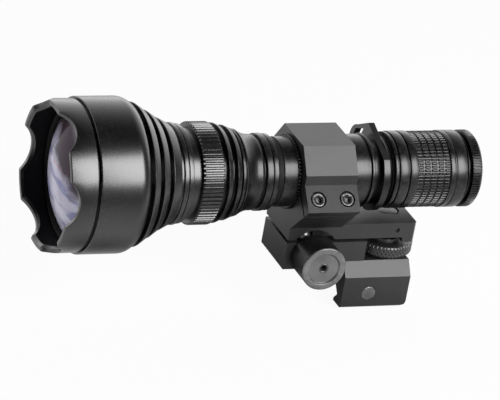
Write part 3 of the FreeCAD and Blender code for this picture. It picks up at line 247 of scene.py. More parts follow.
def milled(node, width, cutters):
    # the machined solid of a part, cleaned to plain faces and with its edges broken
    mesh = nodes[node].data.copy()
    mesh.name = node + "Milled"
    mesh.materials.clear()
    work = bmesh.new()
    work.from_mesh(mesh)
    bmesh.ops.remove_doubles(work, verts=work.verts, dist=5e-6)
    bmesh.ops.dissolve_limit(work, angle_limit=math.radians(0.6), verts=work.verts, edges=work.edges)
    bmesh.ops.recalc_face_normals(work, faces=work.faces)
    work.to_mesh(mesh)
    work.free()
    piece = bpy.data.objects.new(node + "Milled", mesh)
    bpy.context.scene.collection.objects.link(piece)
    if cutters:
        carve(piece, cutters)
    return markEdges(breakEdges(piece, width))


def dress(piece, material, slot, body, *replaced):
    piece.data.materials.clear()
    piece.data.materials.append(material)
    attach(piece, body)
    if replaced:
        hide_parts(*replaced)
    return piece


# Materials

def newMaterial(name):
    material = bpy.data.materials.new(name)
    material.use_nodes = True
    tree = material.node_tree
    shader = tree.nodes["Principled BSDF"]
    return material, tree, shader


def addNode(tree, kind, **inputs):
    node = tree.nodes.new(kind)
    for key, value in inputs.items():
        node.inputs[key.replace("_", " ")].default_value = value
    return node


def spread(tree, source, low, high, fromLow=0.3, fromHigh=0.7):
    ranged = tree.nodes.new("ShaderNodeMapRange")
    ranged.inputs["From Min"].default_value = fromLow
    ranged.inputs["From Max"].default_value = fromHigh
    ranged.inputs["To Min"].default_value = low
    ranged.inputs["To Max"].default_value = high
    tree.links.new(source, ranged.inputs["Value"])
    return ranged.outputs["Result"]


def noiseAt(tree, coordinates, scale, detail=2.0, stretch=None):
    if stretch:
        mapping = tree.nodes.new("ShaderNodeMapping")
        mapping.inputs["Scale"].default_value = stretch
        tree.links.new(coordinates, mapping.inputs["Vector"])
        coordinates = mapping.outputs["Vector"]
    noise = addNode(tree, "ShaderNodeTexNoise", Scale=scale, Detail=detail)
    tree.links.new(coordinates, noise.inputs["Vector"])
    return noise.outputs["Fac"]


def mixColours(tree, factor, low, high):
    mix = tree.nodes.new("ShaderNodeMix")
    mix.data_type = "RGBA"
    for socket, value in (("A", low), ("B", high)):
        target = [item for item in mix.inputs if item.name == socket and item.type == "RGBA"][0]
        if isinstance(value, tuple):
            target.default_value = value
        else:
            tree.links.new(value, target)
    tree.links.new(factor, mix.inputs["Factor"])
    return [item for item in mix.outputs if item.type == "RGBA"][0]


def mathNode(tree, operation, first, second):
    node = tree.nodes.new("ShaderNodeMath")
    node.operation = operation
    for socket, value in zip(node.inputs, (first, second)):
        if isinstance(value, float):
            socket.default_value = value
        else:
            tree.links.new(value, socket)
    return node.outputs[0]


def mixValues(tree, factor, low, high):
    mix = tree.nodes.new("ShaderNodeMix")
    for name, value in (("Factor", factor), ("A", low), ("B", high)):
        socket = [item for item in mix.inputs if item.name == name and item.type == "VALUE"][0]
        if isinstance(value, float):
            socket.default_value = value
        else:
            tree.links.new(value, socket)
    return mix.outputs[0]


def metalFinish(name, settings):
    # dyed or bare metal: colour drift, grain, tool marks along one axis, and edges paler, partly as wear and partly
    # as a painted highlight
    material, tree, shader = newMaterial(name)
    place = tree.nodes.new("ShaderNodeTexCoord").outputs["Object"]
    drift = noiseAt(tree, place, 90.0, 3.0)
    grain = noiseAt(tree, place, settings["grainScale"], 2.0)
    tone = mixColours(tree, spread(tree, drift, 0.0, 1.0), settings["dark"], settings["light"])
    # paler edges: partly wear, partly a painted highlight along the edge
    wearAndHighlight = tree.nodes.new("ShaderNodeAttribute")
    wearAndHighlight.attribute_name = "edgeWearAndHighlight"
    scuff = noiseAt(tree, place, 700.0, 3.0)
    wornAndHighlight = mathNode(tree, "MULTIPLY", wearAndHighlight.outputs["Fac"], spread(tree, scuff, 0.0, settings["wearAndHighlight"], 0.38, 0.66))
    wornAndHighlight.node.use_clamp = True
    tree.links.new(mixColours(tree, wornAndHighlight, tone, settings["bareAndHighlight"]), shader.inputs["Base Color"])
    tree.links.new(spread(tree, grain, settings["rough"] - settings["roughDrift"],
                          settings["rough"] + settings["roughDrift"]), shader.inputs["Roughness"])
    shader.inputs["Metallic"].default_value = settings["metallic"]
    shader.inputs["Specular IOR Level"].default_value = settings["specular"]
    marks = noiseAt(tree, place, 1.0, 2.0, settings["marks"])
    relief = mathNode(tree, "ADD", spread(tree, grain, 0.0, settings["grainHeight"]),
                      spread(tree, marks, 0.0, settings["markHeight"]))
    bump = tree.nodes.new("ShaderNodeBump")
    bump.inputs["Strength"].default_value = settings["bump"]
    bump.inputs["Distance"].default_value = 0.00005
    tree.links.new(relief, bump.inputs["Height"])
    tree.links.new(bump.outputs["Normal"], shader.inputs["Normal"])
    return material


# the paler edge colour and its strength stand partly for wear and partly for a painted highlight on the edges
torchFinish = {
    "dark": (0.0018, 0.0018, 0.0019, 1), "light": (0.0028, 0.0028, 0.003, 1), "bareAndHighlight": (0.1, 0.1, 0.104, 1),
    "rough": 0.27, "roughDrift": 0.012, "metallic": 0.0, "specular": 0.95, "wearAndHighlight": 0.3,
    "grainScale": 5200.0, "grainHeight": 0.5, "marks": (5200.0, 60.0, 60.0), "markHeight": 0.6, "bump": 0.05,
}
tubeFinish = dict(torchFinish, specular=0.6, rough=0.29, wearAndHighlight=0.4)
innerFinish = dict(torchFinish, dark=(0.001, 0.001, 0.001, 1), light=(0.0015, 0.0015, 0.0015, 1), specular=0.15,
                   rough=0.5, wearAndHighlight=0.0)
mountFinish = dict(torchFinish, dark=(0.021, 0.021, 0.0215, 1), light=(0.027, 0.027, 0.0277, 1), rough=0.36,
                   specular=0.56, wearAndHighlight=0.7,
                   grainScale=4200.0, grainHeight=1.0, marks=(60.0, 60.0, 60.0), markHeight=0.1, bump=0.1)
steelFinish = {
    "dark": (0.075, 0.075, 0.078, 1), "light": (0.10, 0.10, 0.103, 1), "bareAndHighlight": (0.45, 0.45, 0.45, 1),
    "rough": 0.34, "roughDrift": 0.03, "metallic": 0.8, "specular": 0.5, "wearAndHighlight": 0.7,
    "grainScale": 2600.0, "grainHeight": 0.6, "marks": (4000.0, 4000.0, 200.0), "markHeight": 0.5, "bump": 0.1,
}
brassFinish = dict(steelFinish, metallic=1.0, dark=(0.5, 0.36, 0.13, 1), light=(0.62, 0.47, 0.2, 1),
                   bareAndHighlight=(0.85, 0.7, 0.4, 1))
faceFinish = dict(steelFinish, dark=(0.15, 0.15, 0.152, 1), light=(0.26, 0.26, 0.263, 1), rough=0.4)
springFinish = dict(steelFinish, metallic=1.0, dark=(0.62, 0.5, 0.28, 1), light=(0.78, 0.66, 0.42, 1))
boardFinish = dict(steelFinish, dark=(0.7, 0.7, 0.7, 1), light=(0.82, 0.82, 0.82, 1), metallic=0.2, rough=0.4)

torchBlack = metalFinish("torchBlack", torchFinish)
tubeBlack = metalFinish("tubeBlack", tubeFinish)
innerBlack = metalFinish("innerBlack", innerFinish)
mountBlack = metalFinish("mountBlack", mountFinish)
bareSteel = metalFinish("bareSteel", steelFinish)
turnedFace = metalFinish("turnedFace", faceFinish)
threadBrass = metalFinish("threadBrass", brassFinish)
springPlate = metalFinish("springPlate", springFinish)
boardMetal = metalFinish("boardMetal", boardFinish)


def mouldedFinish(name, dark, light, rough, grainScale=2500.0, specular=0.5, bumpStrength=0.2):
    material, tree, shader = newMaterial(name)
    place = tree.nodes.new("ShaderNodeTexCoord").outputs["Object"]
    drift = noiseAt(tree, place, 260.0, 3.0)
    grain = noiseAt(tree, place, grainScale, 2.0)
    tree.links.new(mixColours(tree, spread(tree, drift, 0.0, 1.0), dark, light), shader.inputs["Base Color"])
    tree.links.new(spread(tree, grain, rough - 0.06, rough + 0.06), shader.inputs["Roughness"])
    shader.inputs["Specular IOR Level"].default_value = specular
    bump = tree.nodes.new("ShaderNodeBump")
    bump.inputs["Strength"].default_value = bumpStrength
    bump.inputs["Distance"].default_value = 0.00005
    tree.links.new(grain, bump.inputs["Height"])
    tree.links.new(bump.outputs["Normal"], shader.inputs["Normal"])
    return material


blackRubber = mouldedFinish("blackRubber", (0.006, 0.006, 0.006, 1), (0.009, 0.009, 0.009, 1), 0.6, specular=0.25)
switchPlastic = mouldedFinish("switchPlastic", (0.02, 0.02, 0.02, 1), (0.03, 0.03, 0.03, 1), 0.5)
boardGreen = mouldedFinish("boardGreen", (0.02, 0.12, 0.05, 1), (0.03, 0.17, 0.07, 1), 0.35)
cellSleeve = mouldedFinish("cellSleeve", (0.04, 0.1, 0.32, 1), (0.05, 0.12, 0.36, 1), 0.35, bumpStrength=0.05)
emitterResin = mouldedFinish("emitterResin", (0.6, 0.58, 0.5, 1), (0.7, 0.68, 0.6, 1), 0.1, bumpStrength=0.02)


# lens colours: pale and palest are a painted image of the lit chip, dark is painted shade over the upper lens
lensLook = {
    "pale": (0.6, 0.58, 0.74, 1), "palest": (0.86, 0.84, 1.0, 1), "blue": (0.22, 0.24, 0.5, 1),
    "rose": (0.7, 0.3, 0.36, 1), "dark": (0.07, 0.045, 0.06, 1), "paintedShadeSwirl": 0.005, "paintedShadeLean": 0.22,
    "paintedShadeFrom": 0.048, "paintedShadeTo": 0.056, "rough": 0.14, "clear": 0.12,
}


def lensFinish(name, s):
    # coated glass over the pale chip, with the chip's lit image painted in: pale lavender below, painted shade from
    # the bezel in purple brown above, with blue and rose streaks
    material, tree, shader = newMaterial(name)
    place = tree.nodes.new("ShaderNodeTexCoord").outputs["Object"]
    apart = tree.nodes.new("ShaderNodeSeparateXYZ")
    tree.links.new(place, apart.inputs[0])
    paintedShadeSwirl = noiseAt(tree, place, 1.0, 3.0, (70.0, 55.0, 70.0))
    drift = noiseAt(tree, place, 110.0, 3.0)
    streak = noiseAt(tree, place, 1.0, 4.0, (120.0, 50.0, 230.0))
    # painted image of the lit chip, in pale lavender
    base = mixColours(tree, spread(tree, drift, 0.0, 1.0), s["pale"], s["palest"])
    base = mixColours(tree, spread(tree, streak, 0.0, 0.75, 0.54, 0.62), base, s["blue"])
    base = mixColours(tree, spread(tree, streak, 0.6, 0.0, 0.34, 0.40), base, s["rose"])
    # painted shade from the bezel: darker above a slanted height line, its edge wobbled by noise
    lift = mathNode(tree, "SUBTRACT", apart.outputs["Z"], mathNode(tree, "MULTIPLY", apart.outputs["Y"], s["paintedShadeLean"]))
    lift = mathNode(tree, "ADD", lift, spread(tree, paintedShadeSwirl, -s["paintedShadeSwirl"], s["paintedShadeSwirl"], 0.35, 0.65))
    shade = spread(tree, lift, 0.0, 1.0, s["paintedShadeFrom"], s["paintedShadeTo"])
    tree.links.new(mixColours(tree, shade, base, s["dark"]), shader.inputs["Base Color"])
    shader.inputs["Transmission Weight"].default_value = s["clear"]
    shader.inputs["Roughness"].default_value = s["rough"]
    shader.inputs["IOR"].default_value = 1.52
    shader.inputs["Specular IOR Level"].default_value = 0.08
    shader.inputs["Specular Tint"].default_value = (0.7, 0.7, 1.0, 1)
    shader.inputs["Coat Weight"].default_value = 0.08
    shader.inputs["Coat Roughness"].default_value = 0.04
    return material


paintedLensGlass = lensFinish("paintedLensGlass", lensLook)
print("materials made")


# Torch: bezel, lens and head

bezelShape = {"front": -110.0, "rear": -98.3, "frontRadius": 29.2, "radius": 29.15, "bore": 26.6,
              "skirtRadius": 27.9, "skirtEnd": -95.4, "lensStop": -99.0, "lensBore": 25.95, "notches": 6,
              "notchRadius": 11.8, "notchDepth": 4.1, "clock": 33.0, "lip": 0.4, "seam": 1.0}


def makeBezel(s):
    reach = s["front"] + 5.6
    slope = (s["radius"] - s["frontRadius"]) / (s["rear"] - s["front"])
    outline = softened([
        (s["front"], s["bore"] + 0.8, 0.25),
        (s["front"], s["frontRadius"], s["lip"]),
        (reach, s["frontRadius"] + slope * (reach - s["front"]), 0),
        (s["rear"] - s["seam"], s["radius"], 0.25),
        (s["rear"] - s["seam"], s["skirtRadius"] + 0.2, 0.05),
        (s["rear"], s["skirtRadius"] + 0.2, 0),
        (s["rear"], s["skirtRadius"], 0.05),
        (s["skirtEnd"], s["skirtRadius"], 0.2),
        (s["skirtEnd"], s["lensBore"], 0.1),
        (s["lensStop"], s["lensBore"], 0.05),
        (s["lensStop"], s["bore"], 0.05),
        (reach, s["bore"], 0),
        (s["front"] + 1.2, s["bore"], 0.2),
    ], cuts=4)
    centre = s["front"] - s["notchRadius"] + s["notchDepth"]
    first = math.radians(90 - s["clock"])

    def notchAt(angle, r):
        pitch = 2 * math.pi / s["notches"]
        away = (angle - first + pitch / 2) % pitch - pitch / 2
        side = r * math.sin(away)
        if abs(side) >= s["notchRadius"]:
            return 0
        cut = centre + math.sqrt(s["notchRadius"] ** 2 - side ** 2) - s["front"]
        soft = 0.3  # rounds the corner between a notch and the rim
        return max(0.5 * (cut + math.sqrt(cut * cut + soft * soft)) - 0.02, 0)

    def shape(angle, x, r):
        if x >= reach:
            return x, r
        share = min((reach - x) / (reach - s["front"] - 1.2), 1.0)
        move = notchAt(angle, r) * share
        return x + move, r + (slope * move if r > s["bore"] + 1.2 else 0)

    return turned("bezelRing", torchFrame, outline, 432, shape)


bezel = dress(makeBezel(bezelShape), torchBlack, "torch_black", "cradle", "bezel")
bezel.data.materials.append(innerBlack)  # the bore is duller than the outside
for face in bezel.data.polygons:
    outward = Vector((0, face.center.y, face.center.z - layout["axisHeight"] * mm))
    if outward.length < (bezelShape["bore"] + 0.3) * mm and face.normal.dot(outward.normalized()) < -0.5:
        face.material_index = 1

lensShape = {"apex": -106.0, "edgeFront": -99.0, "edgeRear": -96.0, "radius": 25.9, "clear": 24.5}


def makeLens(s):
    height = s["edgeFront"] - s["apex"]
    sphere = (s["clear"] ** 2 + height ** 2) / (2 * height)
    outline = [(s["apex"], 0.0, 0.0)]
    for k in range(1, 25):
        r = s["clear"] * k / 24
        outline.append((s["apex"] + sphere - math.sqrt(sphere * sphere - r * r), r, 0.0))
    outline += [(s["edgeFront"], s["radius"], 0.0), (s["edgeRear"], s["radius"], 0.0)]
    outline += [(s["edgeRear"], s["radius"] * k / 6, 0.0) for k in range(5, 0, -1)]
    outline.append((s["edgeRear"], 0.0, 0.0))
    return turned("lensGlass", torchFrame, outline, 160)


dress(makeLens(lensShape), paintedLensGlass, "coated_lens", "cradle", "lens")

lensRingShape = {"front": -101.0, "rear": -99.0, "bore": 24.5, "radius": 26.55}
lensRing = turned("lensRingTurned", torchFrame, softened([
    (lensRingShape["front"], lensRingShape["bore"] + 0.8, 0.2),
    (lensRingShape["front"], lensRingShape["radius"], 0.15),
    (lensRingShape["rear"], lensRingShape["radius"], 0.1),
    (lensRingShape["rear"], lensRingShape["bore"], 0.1),
    (lensRingShape["rear"] - 0.7, lensRingShape["bore"], 0.2),
]), 160)
dress(lensRing, innerBlack, "torch_black", "cradle", "lens_ring")

headOutline = [
    (-98.3, 27.95, 0.1), (-98.3, 29.9, 0.4), *arcBetween((-82.7, 29.9), (-78.2, 28.0), 6.28, 1), (-78.2, 23.8, 0.2),
    (-76.2, 23.8, 0.2), (-76.2, 27.8, 0.3), (-73.2, 25.8, 0.3), (-73.2, 20.8, 0.2), (-71.2, 20.8, 0.2),
    (-71.2, 24.8, 0.3), (-68.2, 22.8, 0.3), (-68.2, 18.8, 0.2), (-66.2, 18.8, 0.2), (-66.2, 21.8, 0.3),
    (-62.2, 19.8, 0.3), (-62.2, 18.8, 0.2), (-61.0, 18.8, 0.2), (-61.0, 19.6, 0.25), (-59.4, 19.6, 0.2),
    (-59.4, 18.8, 0.1), (-58.9, 18.8, 0.1), (-58.9, 19.3, 0.2), (-57.0, 19.1, 0.25), (-57.0, 17.6, 0.15),
    (-53.25, 17.6, 0.1), (-53.25, 17.05, 0.1), (-73.7, 17.05, 0.1), (-81.2, 23.9, 0.2), (-95.2, 23.9, 0.2),
    (-95.2, 27.95, 0.1),
]
dress(turned("headTurned", torchFrame, softened(headOutline, cuts=5), 224), torchBlack, "torch_black",
      "cradle", "head_shell")

focusShape = {"front": -53.2, "rear": -44.8, "radius": 19.8, "bore": 17.05, "ribs": 68, "depth": 0.7,
              "chamfer": 0.5}


def makeFocusRing(s):
    low = s["radius"] - s["depth"]
    outline = softened([
        (s["front"], s["bore"], 0.1), (s["front"], low, 0.15), (s["front"] + s["chamfer"], s["radius"], 0.2),
        (s["rear"] - s["chamfer"], s["radius"], 0.2), (s["rear"], low, 0.15), (s["rear"], s["bore"], 0.1),
    ], cuts=3)
    return turned("focusRingKnurled", torchFrame, outline, s["ribs"] * 12,
                  ribs(s["ribs"], low, s["front"], s["rear"], 0.36, 0.18), 40)


dress(makeFocusRing(focusShape), torchBlack, "torch_black", "focus_ring", "focus_ring")
print("head, lens and focus ring made")

# Torch: neck, tube, collar and tail cap

neckOutline = [
    (-62.2, 14.0, 0.1), (-62.2, 17.0, 0.3), (-44.75, 17.0, 0.1), (-44.75, 17.1, 0.1), (-42.8, 17.1, 0.1),
    (-42.8, 19.3, 0.15), (-40.9, 18.5, 0.2), (-40.9, 15.9, 0.2), (-38.8, 15.9, 0.2), (-38.8, 18.4, 0.15),
    (-36.9, 17.6, 0.2), (-36.9, 16.0, 0.1), (-36.1, 16.0, 0.1), (-36.1, 17.1, 0.2), (-35.2, 17.1, 0.2),
    (-35.2, 16.2, 0.1), (-34.6, 16.2, 0.1), (-34.5, 16.9, 0.1), *arcBetween((-34.1, 16.8), (-28.9, 14.7), 12.0, -1),
    (-27.2, 14.7, 0.2), (-26.2, 14.3, 0.1), (-26.2, 13.6, 0.1), (-25.3, 13.6, 0.1), (-25.3, 15.0, 0.3),
    (-22.8, 15.0, 0.2), (-22.8, 14.2, 0.1), (-22.3, 14.2, 0.1), (-22.3, 14.8, 0.2), (-20.4, 14.8, 0.3),
    (-20.4, 12.65, 0.1), (-29.2, 12.65, 0.1), (-29.2, 7.0, 0.1), (-31.2, 7.0, 0.1), (-31.2, 14.0, 0.1),
]
dress(turned("neckTurned", torchFrame, softened(neckOutline, cuts=4), 192), tubeBlack, "torch_black",
      "cradle", "neck_body")


def sealRing(name, node, body):
    low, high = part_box(node)
    front, rear = low.x / mm - layout["ringAt"], high.x / mm - layout["ringAt"]
    outer = high.y / mm
    half = (rear - front) / 2
    outline = softened([(front, 12.6, 0), (front, outer, half), (rear, outer, half), (rear, 12.6, 0)], cuts=6)
    return dress(turned(name, torchFrame, outline, 128), blackRubber, "black_rubber", body, node)


sealRing("neckSeal", "neck_o_ring", "cradle")
sealRing("tailSeal", "tail_o_ring", "cradle")

tubeOutline = [
    (-27.6, 9.6, 0.3), (-27.6, 12.6, 0.4), (-17.6, 12.6, 0.05), (-17.6, 13.6, 0.2), (10.8, 13.6, 0.05),
    (10.8, 14.1, 0.1), (17.7, 14.1, 0.15), (17.9, 13.4, 0.1), (18.8, 13.4, 0.1), (19.0, 14.4, 0.25),
    (20.0, 14.4, 0.4), (20.5, 12.9, 0.15),
    (23.5, 12.9, 0.05), (23.5, 12.6, 0.05), (45.0, 12.6, 0.4), (45.0, 9.6, 0.3),
]
dress(turned("tubeTurned", torchFrame, softened(tubeOutline, cuts=4), 160), tubeBlack, "torch_black",
      "cradle", "battery_tube")

collarShape = {"front": -12.1, "rear": -10.8, "radius": 14.5, "bore": 13.6, "teeth": 63, "depth": 0.75}
collar = turned("collarToothed", torchFrame, softened([
    (collarShape["front"], collarShape["bore"], 0), (collarShape["front"], collarShape["radius"], 0.2),
    (collarShape["rear"], collarShape["radius"], 0.15), (collarShape["rear"], collarShape["bore"], 0),
], cuts=3), collarShape["teeth"] * 10,
    ribs(collarShape["teeth"], collarShape["radius"] - collarShape["depth"], -13, -10, 0.34, 0.2), 40)
dress(collar, tubeBlack, "torch_black", "cradle", "stop_collar")

lanyardShape = {"front": 23.1, "rear": 25.7, "radius": 15.8, "flat": 13.7, "corner": 12.1, "tipStart": 19.0,
                "tipHalf": 5.8, "reach": 21.9, "bore": 12.65, "clock": 19.5, "hubRadius": 14.1, "hubEnd": 27.3}


def makeLanyardRing(s):
    place = torchFrame @ Matrix.Rotation(math.radians(s["clock"]), 4, "X")
    opening = math.acos(s["flat"] / s["radius"])
    turns = [math.pi / 2 + opening + (math.pi - 2 * opening) * k / 72 for k in range(73)]
    outline = [(s["radius"] * math.cos(t), s["radius"] * math.sin(t)) for t in turns]
    rise = s["reach"] - s["tipStart"]
    tipRadius = (s["tipHalf"] ** 2 + rise ** 2) / (2 * rise)
    half = math.asin(s["tipHalf"] / tipRadius)
    tip = [half * (2 * k / 16 - 1) for k in range(17)]
    outline.append((s["corner"], -s["flat"]))
    outline += [(s["reach"] - tipRadius + tipRadius * math.cos(t), tipRadius * math.sin(t)) for t in tip]
    outline.append((s["corner"], s["flat"]))
    ring = drawn("lanyardRingMilled", place, outline, s["front"], s["rear"])
    slot = [(14.2, -4.4), (13.7, -8.8), (18.9, -3.9), (18.9, 3.9), (13.7, 8.8), (14.2, 4.4)]
    cutters = [drawn("slotCutter", place, slot, s["front"] - 1, s["rear"] + 1),
               drawn("boreCutter", place, circlePoints(s["bore"], 144), s["front"] - 1, s["rear"] + 1)]
    return markEdges(breakEdges(carve(ring, cutters), 0.3, 3))


dress(makeLanyardRing(lanyardShape), tubeBlack, "torch_black", "cradle", "lanyard_ring")
lanyardHub = turned("lanyardHubTurned", torchFrame, softened([
    (lanyardShape["rear"], lanyardShape["bore"], 0), (lanyardShape["rear"], lanyardShape["hubRadius"], 0),
    (lanyardShape["hubEnd"], lanyardShape["hubRadius"] - 0.5, 0.3), (lanyardShape["hubEnd"], lanyardShape["bore"], 0),
]), 144)
dress(lanyardHub, tubeBlack, "torch_black", "cradle", "lanyard_ring")

tailShape = {"front": 28.6, "radius": 15.1, "line": 14.2, "knurlRadius": 14.9, "knurlRows": 5, "rowGap": 0.5,
             "ribs": 68, "endRibs": 85, "depth": 0.6, "groove": 12.9, "knurlFront": 38.2, "knurlRear": 52.2,
             "waistRear": 61.6, "end": 66.0}


def makeTailCap(s):
    f, wide, line, top = s["front"], s["radius"], s["line"], s["knurlRadius"]
    low = top - s["depth"]
    knurlFront, knurlRear = s["knurlFront"], s["knurlRear"]
    pitch = (knurlRear - knurlFront + s["rowGap"]) / s["knurlRows"]
    outline = [
        (f, 12.65, 0.1), (f, 14.9, 0.3), (f + 1.3, 14.9, 0.2), (f + 1.3, line, 0.1), (f + 1.9, line, 0.1),
        (f + 1.9, wide, 0.25), (f + 5.7, wide, 0.25), (f + 5.7, line, 0.1), (f + 6.4, line, 0.1),
        (f + 6.4, wide, 0.25), (knurlFront, wide, 0.15), (knurlFront, low, 0.05),
    ]
    for row in range(s["knurlRows"]):
        start = knurlFront + row * pitch + 0.03
        stop = knurlFront + (row + 1) * pitch - s["rowGap"]
        outline += [(start, low, 0), (start + 0.12, top, 0.12), (stop - 0.12, top, 0.12), (stop, low, 0)]
    outline += [
        (knurlRear + 0.05, low, 0), (knurlRear + 0.05, wide, 0.2), (54.2, wide, 0.2), (54.3, wide - 0.3, 0.1),
        (54.8, wide - 0.3, 0.1), (54.9, wide, 0.25), (59.4, wide, 0.35), (59.4, s["groove"], 0.1),
        (60.1, s["groove"], 0.1), (60.2, 14.2, 0.1), (60.5, 14.2, 0.1), (60.6, s["groove"], 0.1),
        (s["waistRear"], s["groove"], 0.1),
        (s["waistRear"], wide, 0.3), (s["end"] - 1.0, wide, 0.3), (s["end"], wide - 1.0, 0.3),
        (s["end"], 6.5, 0.4), (62.0, 6.5, 0.1), (62.0, 11.5, 0.1), (46.0, 11.5, 0.1), (46.0, 12.65, 0.1),
    ]
    lands = ribs(s["ribs"], low, knurlFront, knurlRear + 0.02, 0.28, 0.2)
    endLands = ribs(s["endRibs"], wide - s["depth"], s["waistRear"] + 0.1, s["end"] - 0.3, 0.3, 0.2)

    def shape(angle, x, r):
        if x < knurlRear + 0.02:
            return lands(angle, x, r) if x > knurlFront + 0.01 else (x, r)
        if x > s["waistRear"] + 0.1 and r > 14.3:
            return endLands(angle, x, r)
        return x, r

    return turned("tailCapKnurled", torchFrame, softened(outline, cuts=2), s["ribs"] * 10, shape, 40)


dress(makeTailCap(tailShape), tubeBlack, "torch_black", "tail_cap", "tail_cap")

buttonOutline = softened([
    (61.0, 0.0), (61.0, 8.0, 0.1), (61.9, 8.0, 0.1), (61.9, 6.2, 0.1), (64.5, 6.2, 0.5), (65.2, 5.0, 0.5),
    (65.0, 3.6, 0.4), (65.1, 0.0),
], cuts=4)
dress(turned("buttonMoulded", torchFrame, buttonOutline, 96), blackRubber, "black_rubber", "button",
      "switch_button")
print("neck, tube and tail made")

# Mount

wheelRoom = {"low": 12.05, "high": 17.8, "radius": 12.4}  # cut from the carriage around the wheel


def makeWheelCutter(s):
    return turned("wheelCutter", wheelFrame, [
        (s["low"], 0, 0), (s["low"], s["radius"], 0), (s["high"], s["radius"], 0), (s["high"], 0, 0)], 144)


for node, body, width in (("cradle", "cradle", 0.28), ("carriage", "carriage", 0.25),
                          ("rail_foot", "foot", 0.28), ("clamp_jaw", "jaw", 0.28), ("clamp_nut", "jaw_nut", 0.2)):
    cutters = [makeWheelCutter(wheelRoom)] if node == "carriage" else []
    dress(milled(node, width, cutters), mountBlack, "mount_black", body, node)

knobShape = {"root": 11.8, "end": 24.0, "radius": 9.0, "ribs": 72, "depth": 0.45, "faceRadius": 6.6,
             "faceRecess": 0.8}


def makeKnob(s):
    outline = softened([
        (s["root"], 2.0, 0), (s["root"], s["radius"] - 0.4, 0.1), (s["root"] + 0.3, s["radius"], 0.1),
        (s["end"] - 1.1, s["radius"], 0.1), (s["end"] - 0.4, s["radius"], 0.1), (s["end"], s["radius"] - 0.4, 0.1),
        (s["end"], s["faceRadius"], 0.2), (s["end"] - s["faceRecess"], s["faceRadius"] - 0.5, 0.2),
        (s["end"] - s["faceRecess"], 2.0, 0),
    ], cuts=2)
    return turned("knobKnurled", knobFrame, outline, s["ribs"] * 10,
                  ribs(s["ribs"], s["radius"] - s["depth"], s["root"], s["end"] - 1.0, 0.4, 0.18), 40)


knob = dress(makeKnob(knobShape), mountBlack, "mount_black", "knob", "windage_knob")
knob.data.materials.append(turnedFace)
for face in knob.data.polygons:
    depth = -face.center.y / mm
    if depth > knobShape["end"] - knobShape["faceRecess"] - 0.05 and -face.normal.y > 0.3:
        face.material_index = 1


def hexPoints(width):
    reach = width / math.sqrt(3)
    return [(reach * math.cos(math.radians(60 * i)), reach * math.sin(math.radians(60 * i))) for i in range(6)]


def socketScrew(name, place, outline, top, width, depth):
    screw = turned(name, place, softened(outline, cuts=3), 64)
    return carve(screw, [drawn(name + "Socket", place, hexPoints(width), top - depth, top + 1)])


clampScrews = {"line": 16.2, "spacing": 12.0, "top": 14.1, "low": -0.9, "shank": 1.5, "headRadius": 2.75,
               "headHeight": 3.0, "socket": 2.5, "socketDepth": 1.6}


def makeClampScrew(s, name, side):
    square = axisFrame((side * s["spacing"] / 2 + layout["ringAt"], -s["line"] * math.sqrt(0.5),
                        layout["axisHeight"] - s["line"] * math.sqrt(0.5)), (0, -1, 1), (1, 0, 0))
    low, top, under = s["low"], s["top"], s["top"] - s["headHeight"]
    return socketScrew(name, square, [
        (low, 0), (low, s["shank"], 0.3), (under, s["shank"], 0.1), (under, s["headRadius"], 0.1),
        (top, s["headRadius"], 0.35), (top, 0)], top, s["socket"], s["socketDepth"])


for name, side in (("clampScrew1", -1), ("clampScrew2", 1)):
    dress(makeClampScrew(clampScrews, name, side), bareSteel, "bare_metal", "cradle", "clamp_screws")

wheelShape = {"foot": 12.1, "low": 12.6, "high": 17.3, "radius": 12.0, "diamonds": 46, "rise": 2.4, "depth": 0.45}


def diamonds(count, rise, low, high, top, depth):
    # two crossing sets of slanting grooves between two heights of a wheel
    def shape(angle, x, r):
        if x < low - 1e-4 or x > high + 1e-4 or r < top - 0.02:
            return x, r
        around, along = angle * count / (2 * math.pi), x / rise
        away = min(abs((around + side * along) % 1.0 - 0.5) for side in (-1, 1))
        lift = min(max((0.5 - away) / 0.26, 0.0), 1.0)
        return x, r - depth * (1 - lift * lift * (3 - 2 * lift))
    return shape


def makeWheel(s):
    bandLow, bandHigh, bandSteps = s["low"] + 0.6, s["high"] - 0.6, 14
    outline = softened([
        (s["foot"], 2.4, 0), (s["foot"], 5.0, 0.2), (s["low"], 5.0, 0.1), (s["low"], s["radius"] - 0.5, 0.15),
        (bandLow, s["radius"], 0),
        *[(bandLow + (bandHigh - bandLow) * k / bandSteps, s["radius"], 0) for k in range(1, bandSteps)],
        (bandHigh, s["radius"], 0), (s["high"], s["radius"] - 0.6, 0.15), (s["high"], 7.0, 0.1),
        (s["high"] + 1.3, 7.0, 0.3), (s["high"] + 1.3, 4.6, 0.1), (s["high"] + 2.9, 4.6, 0.3),
        (s["high"] + 2.9, 2.4, 0),
    ], cuts=2)
    pattern = diamonds(s["diamonds"], s["rise"], bandLow, bandHigh, s["radius"], s["depth"])
    return turned("wheelKnurled", wheelFrame, outline, s["diamonds"] * 14, pattern, 50)


dress(makeWheel(wheelShape), bareSteel, "bare_metal", "wheel", "elevation_wheel")

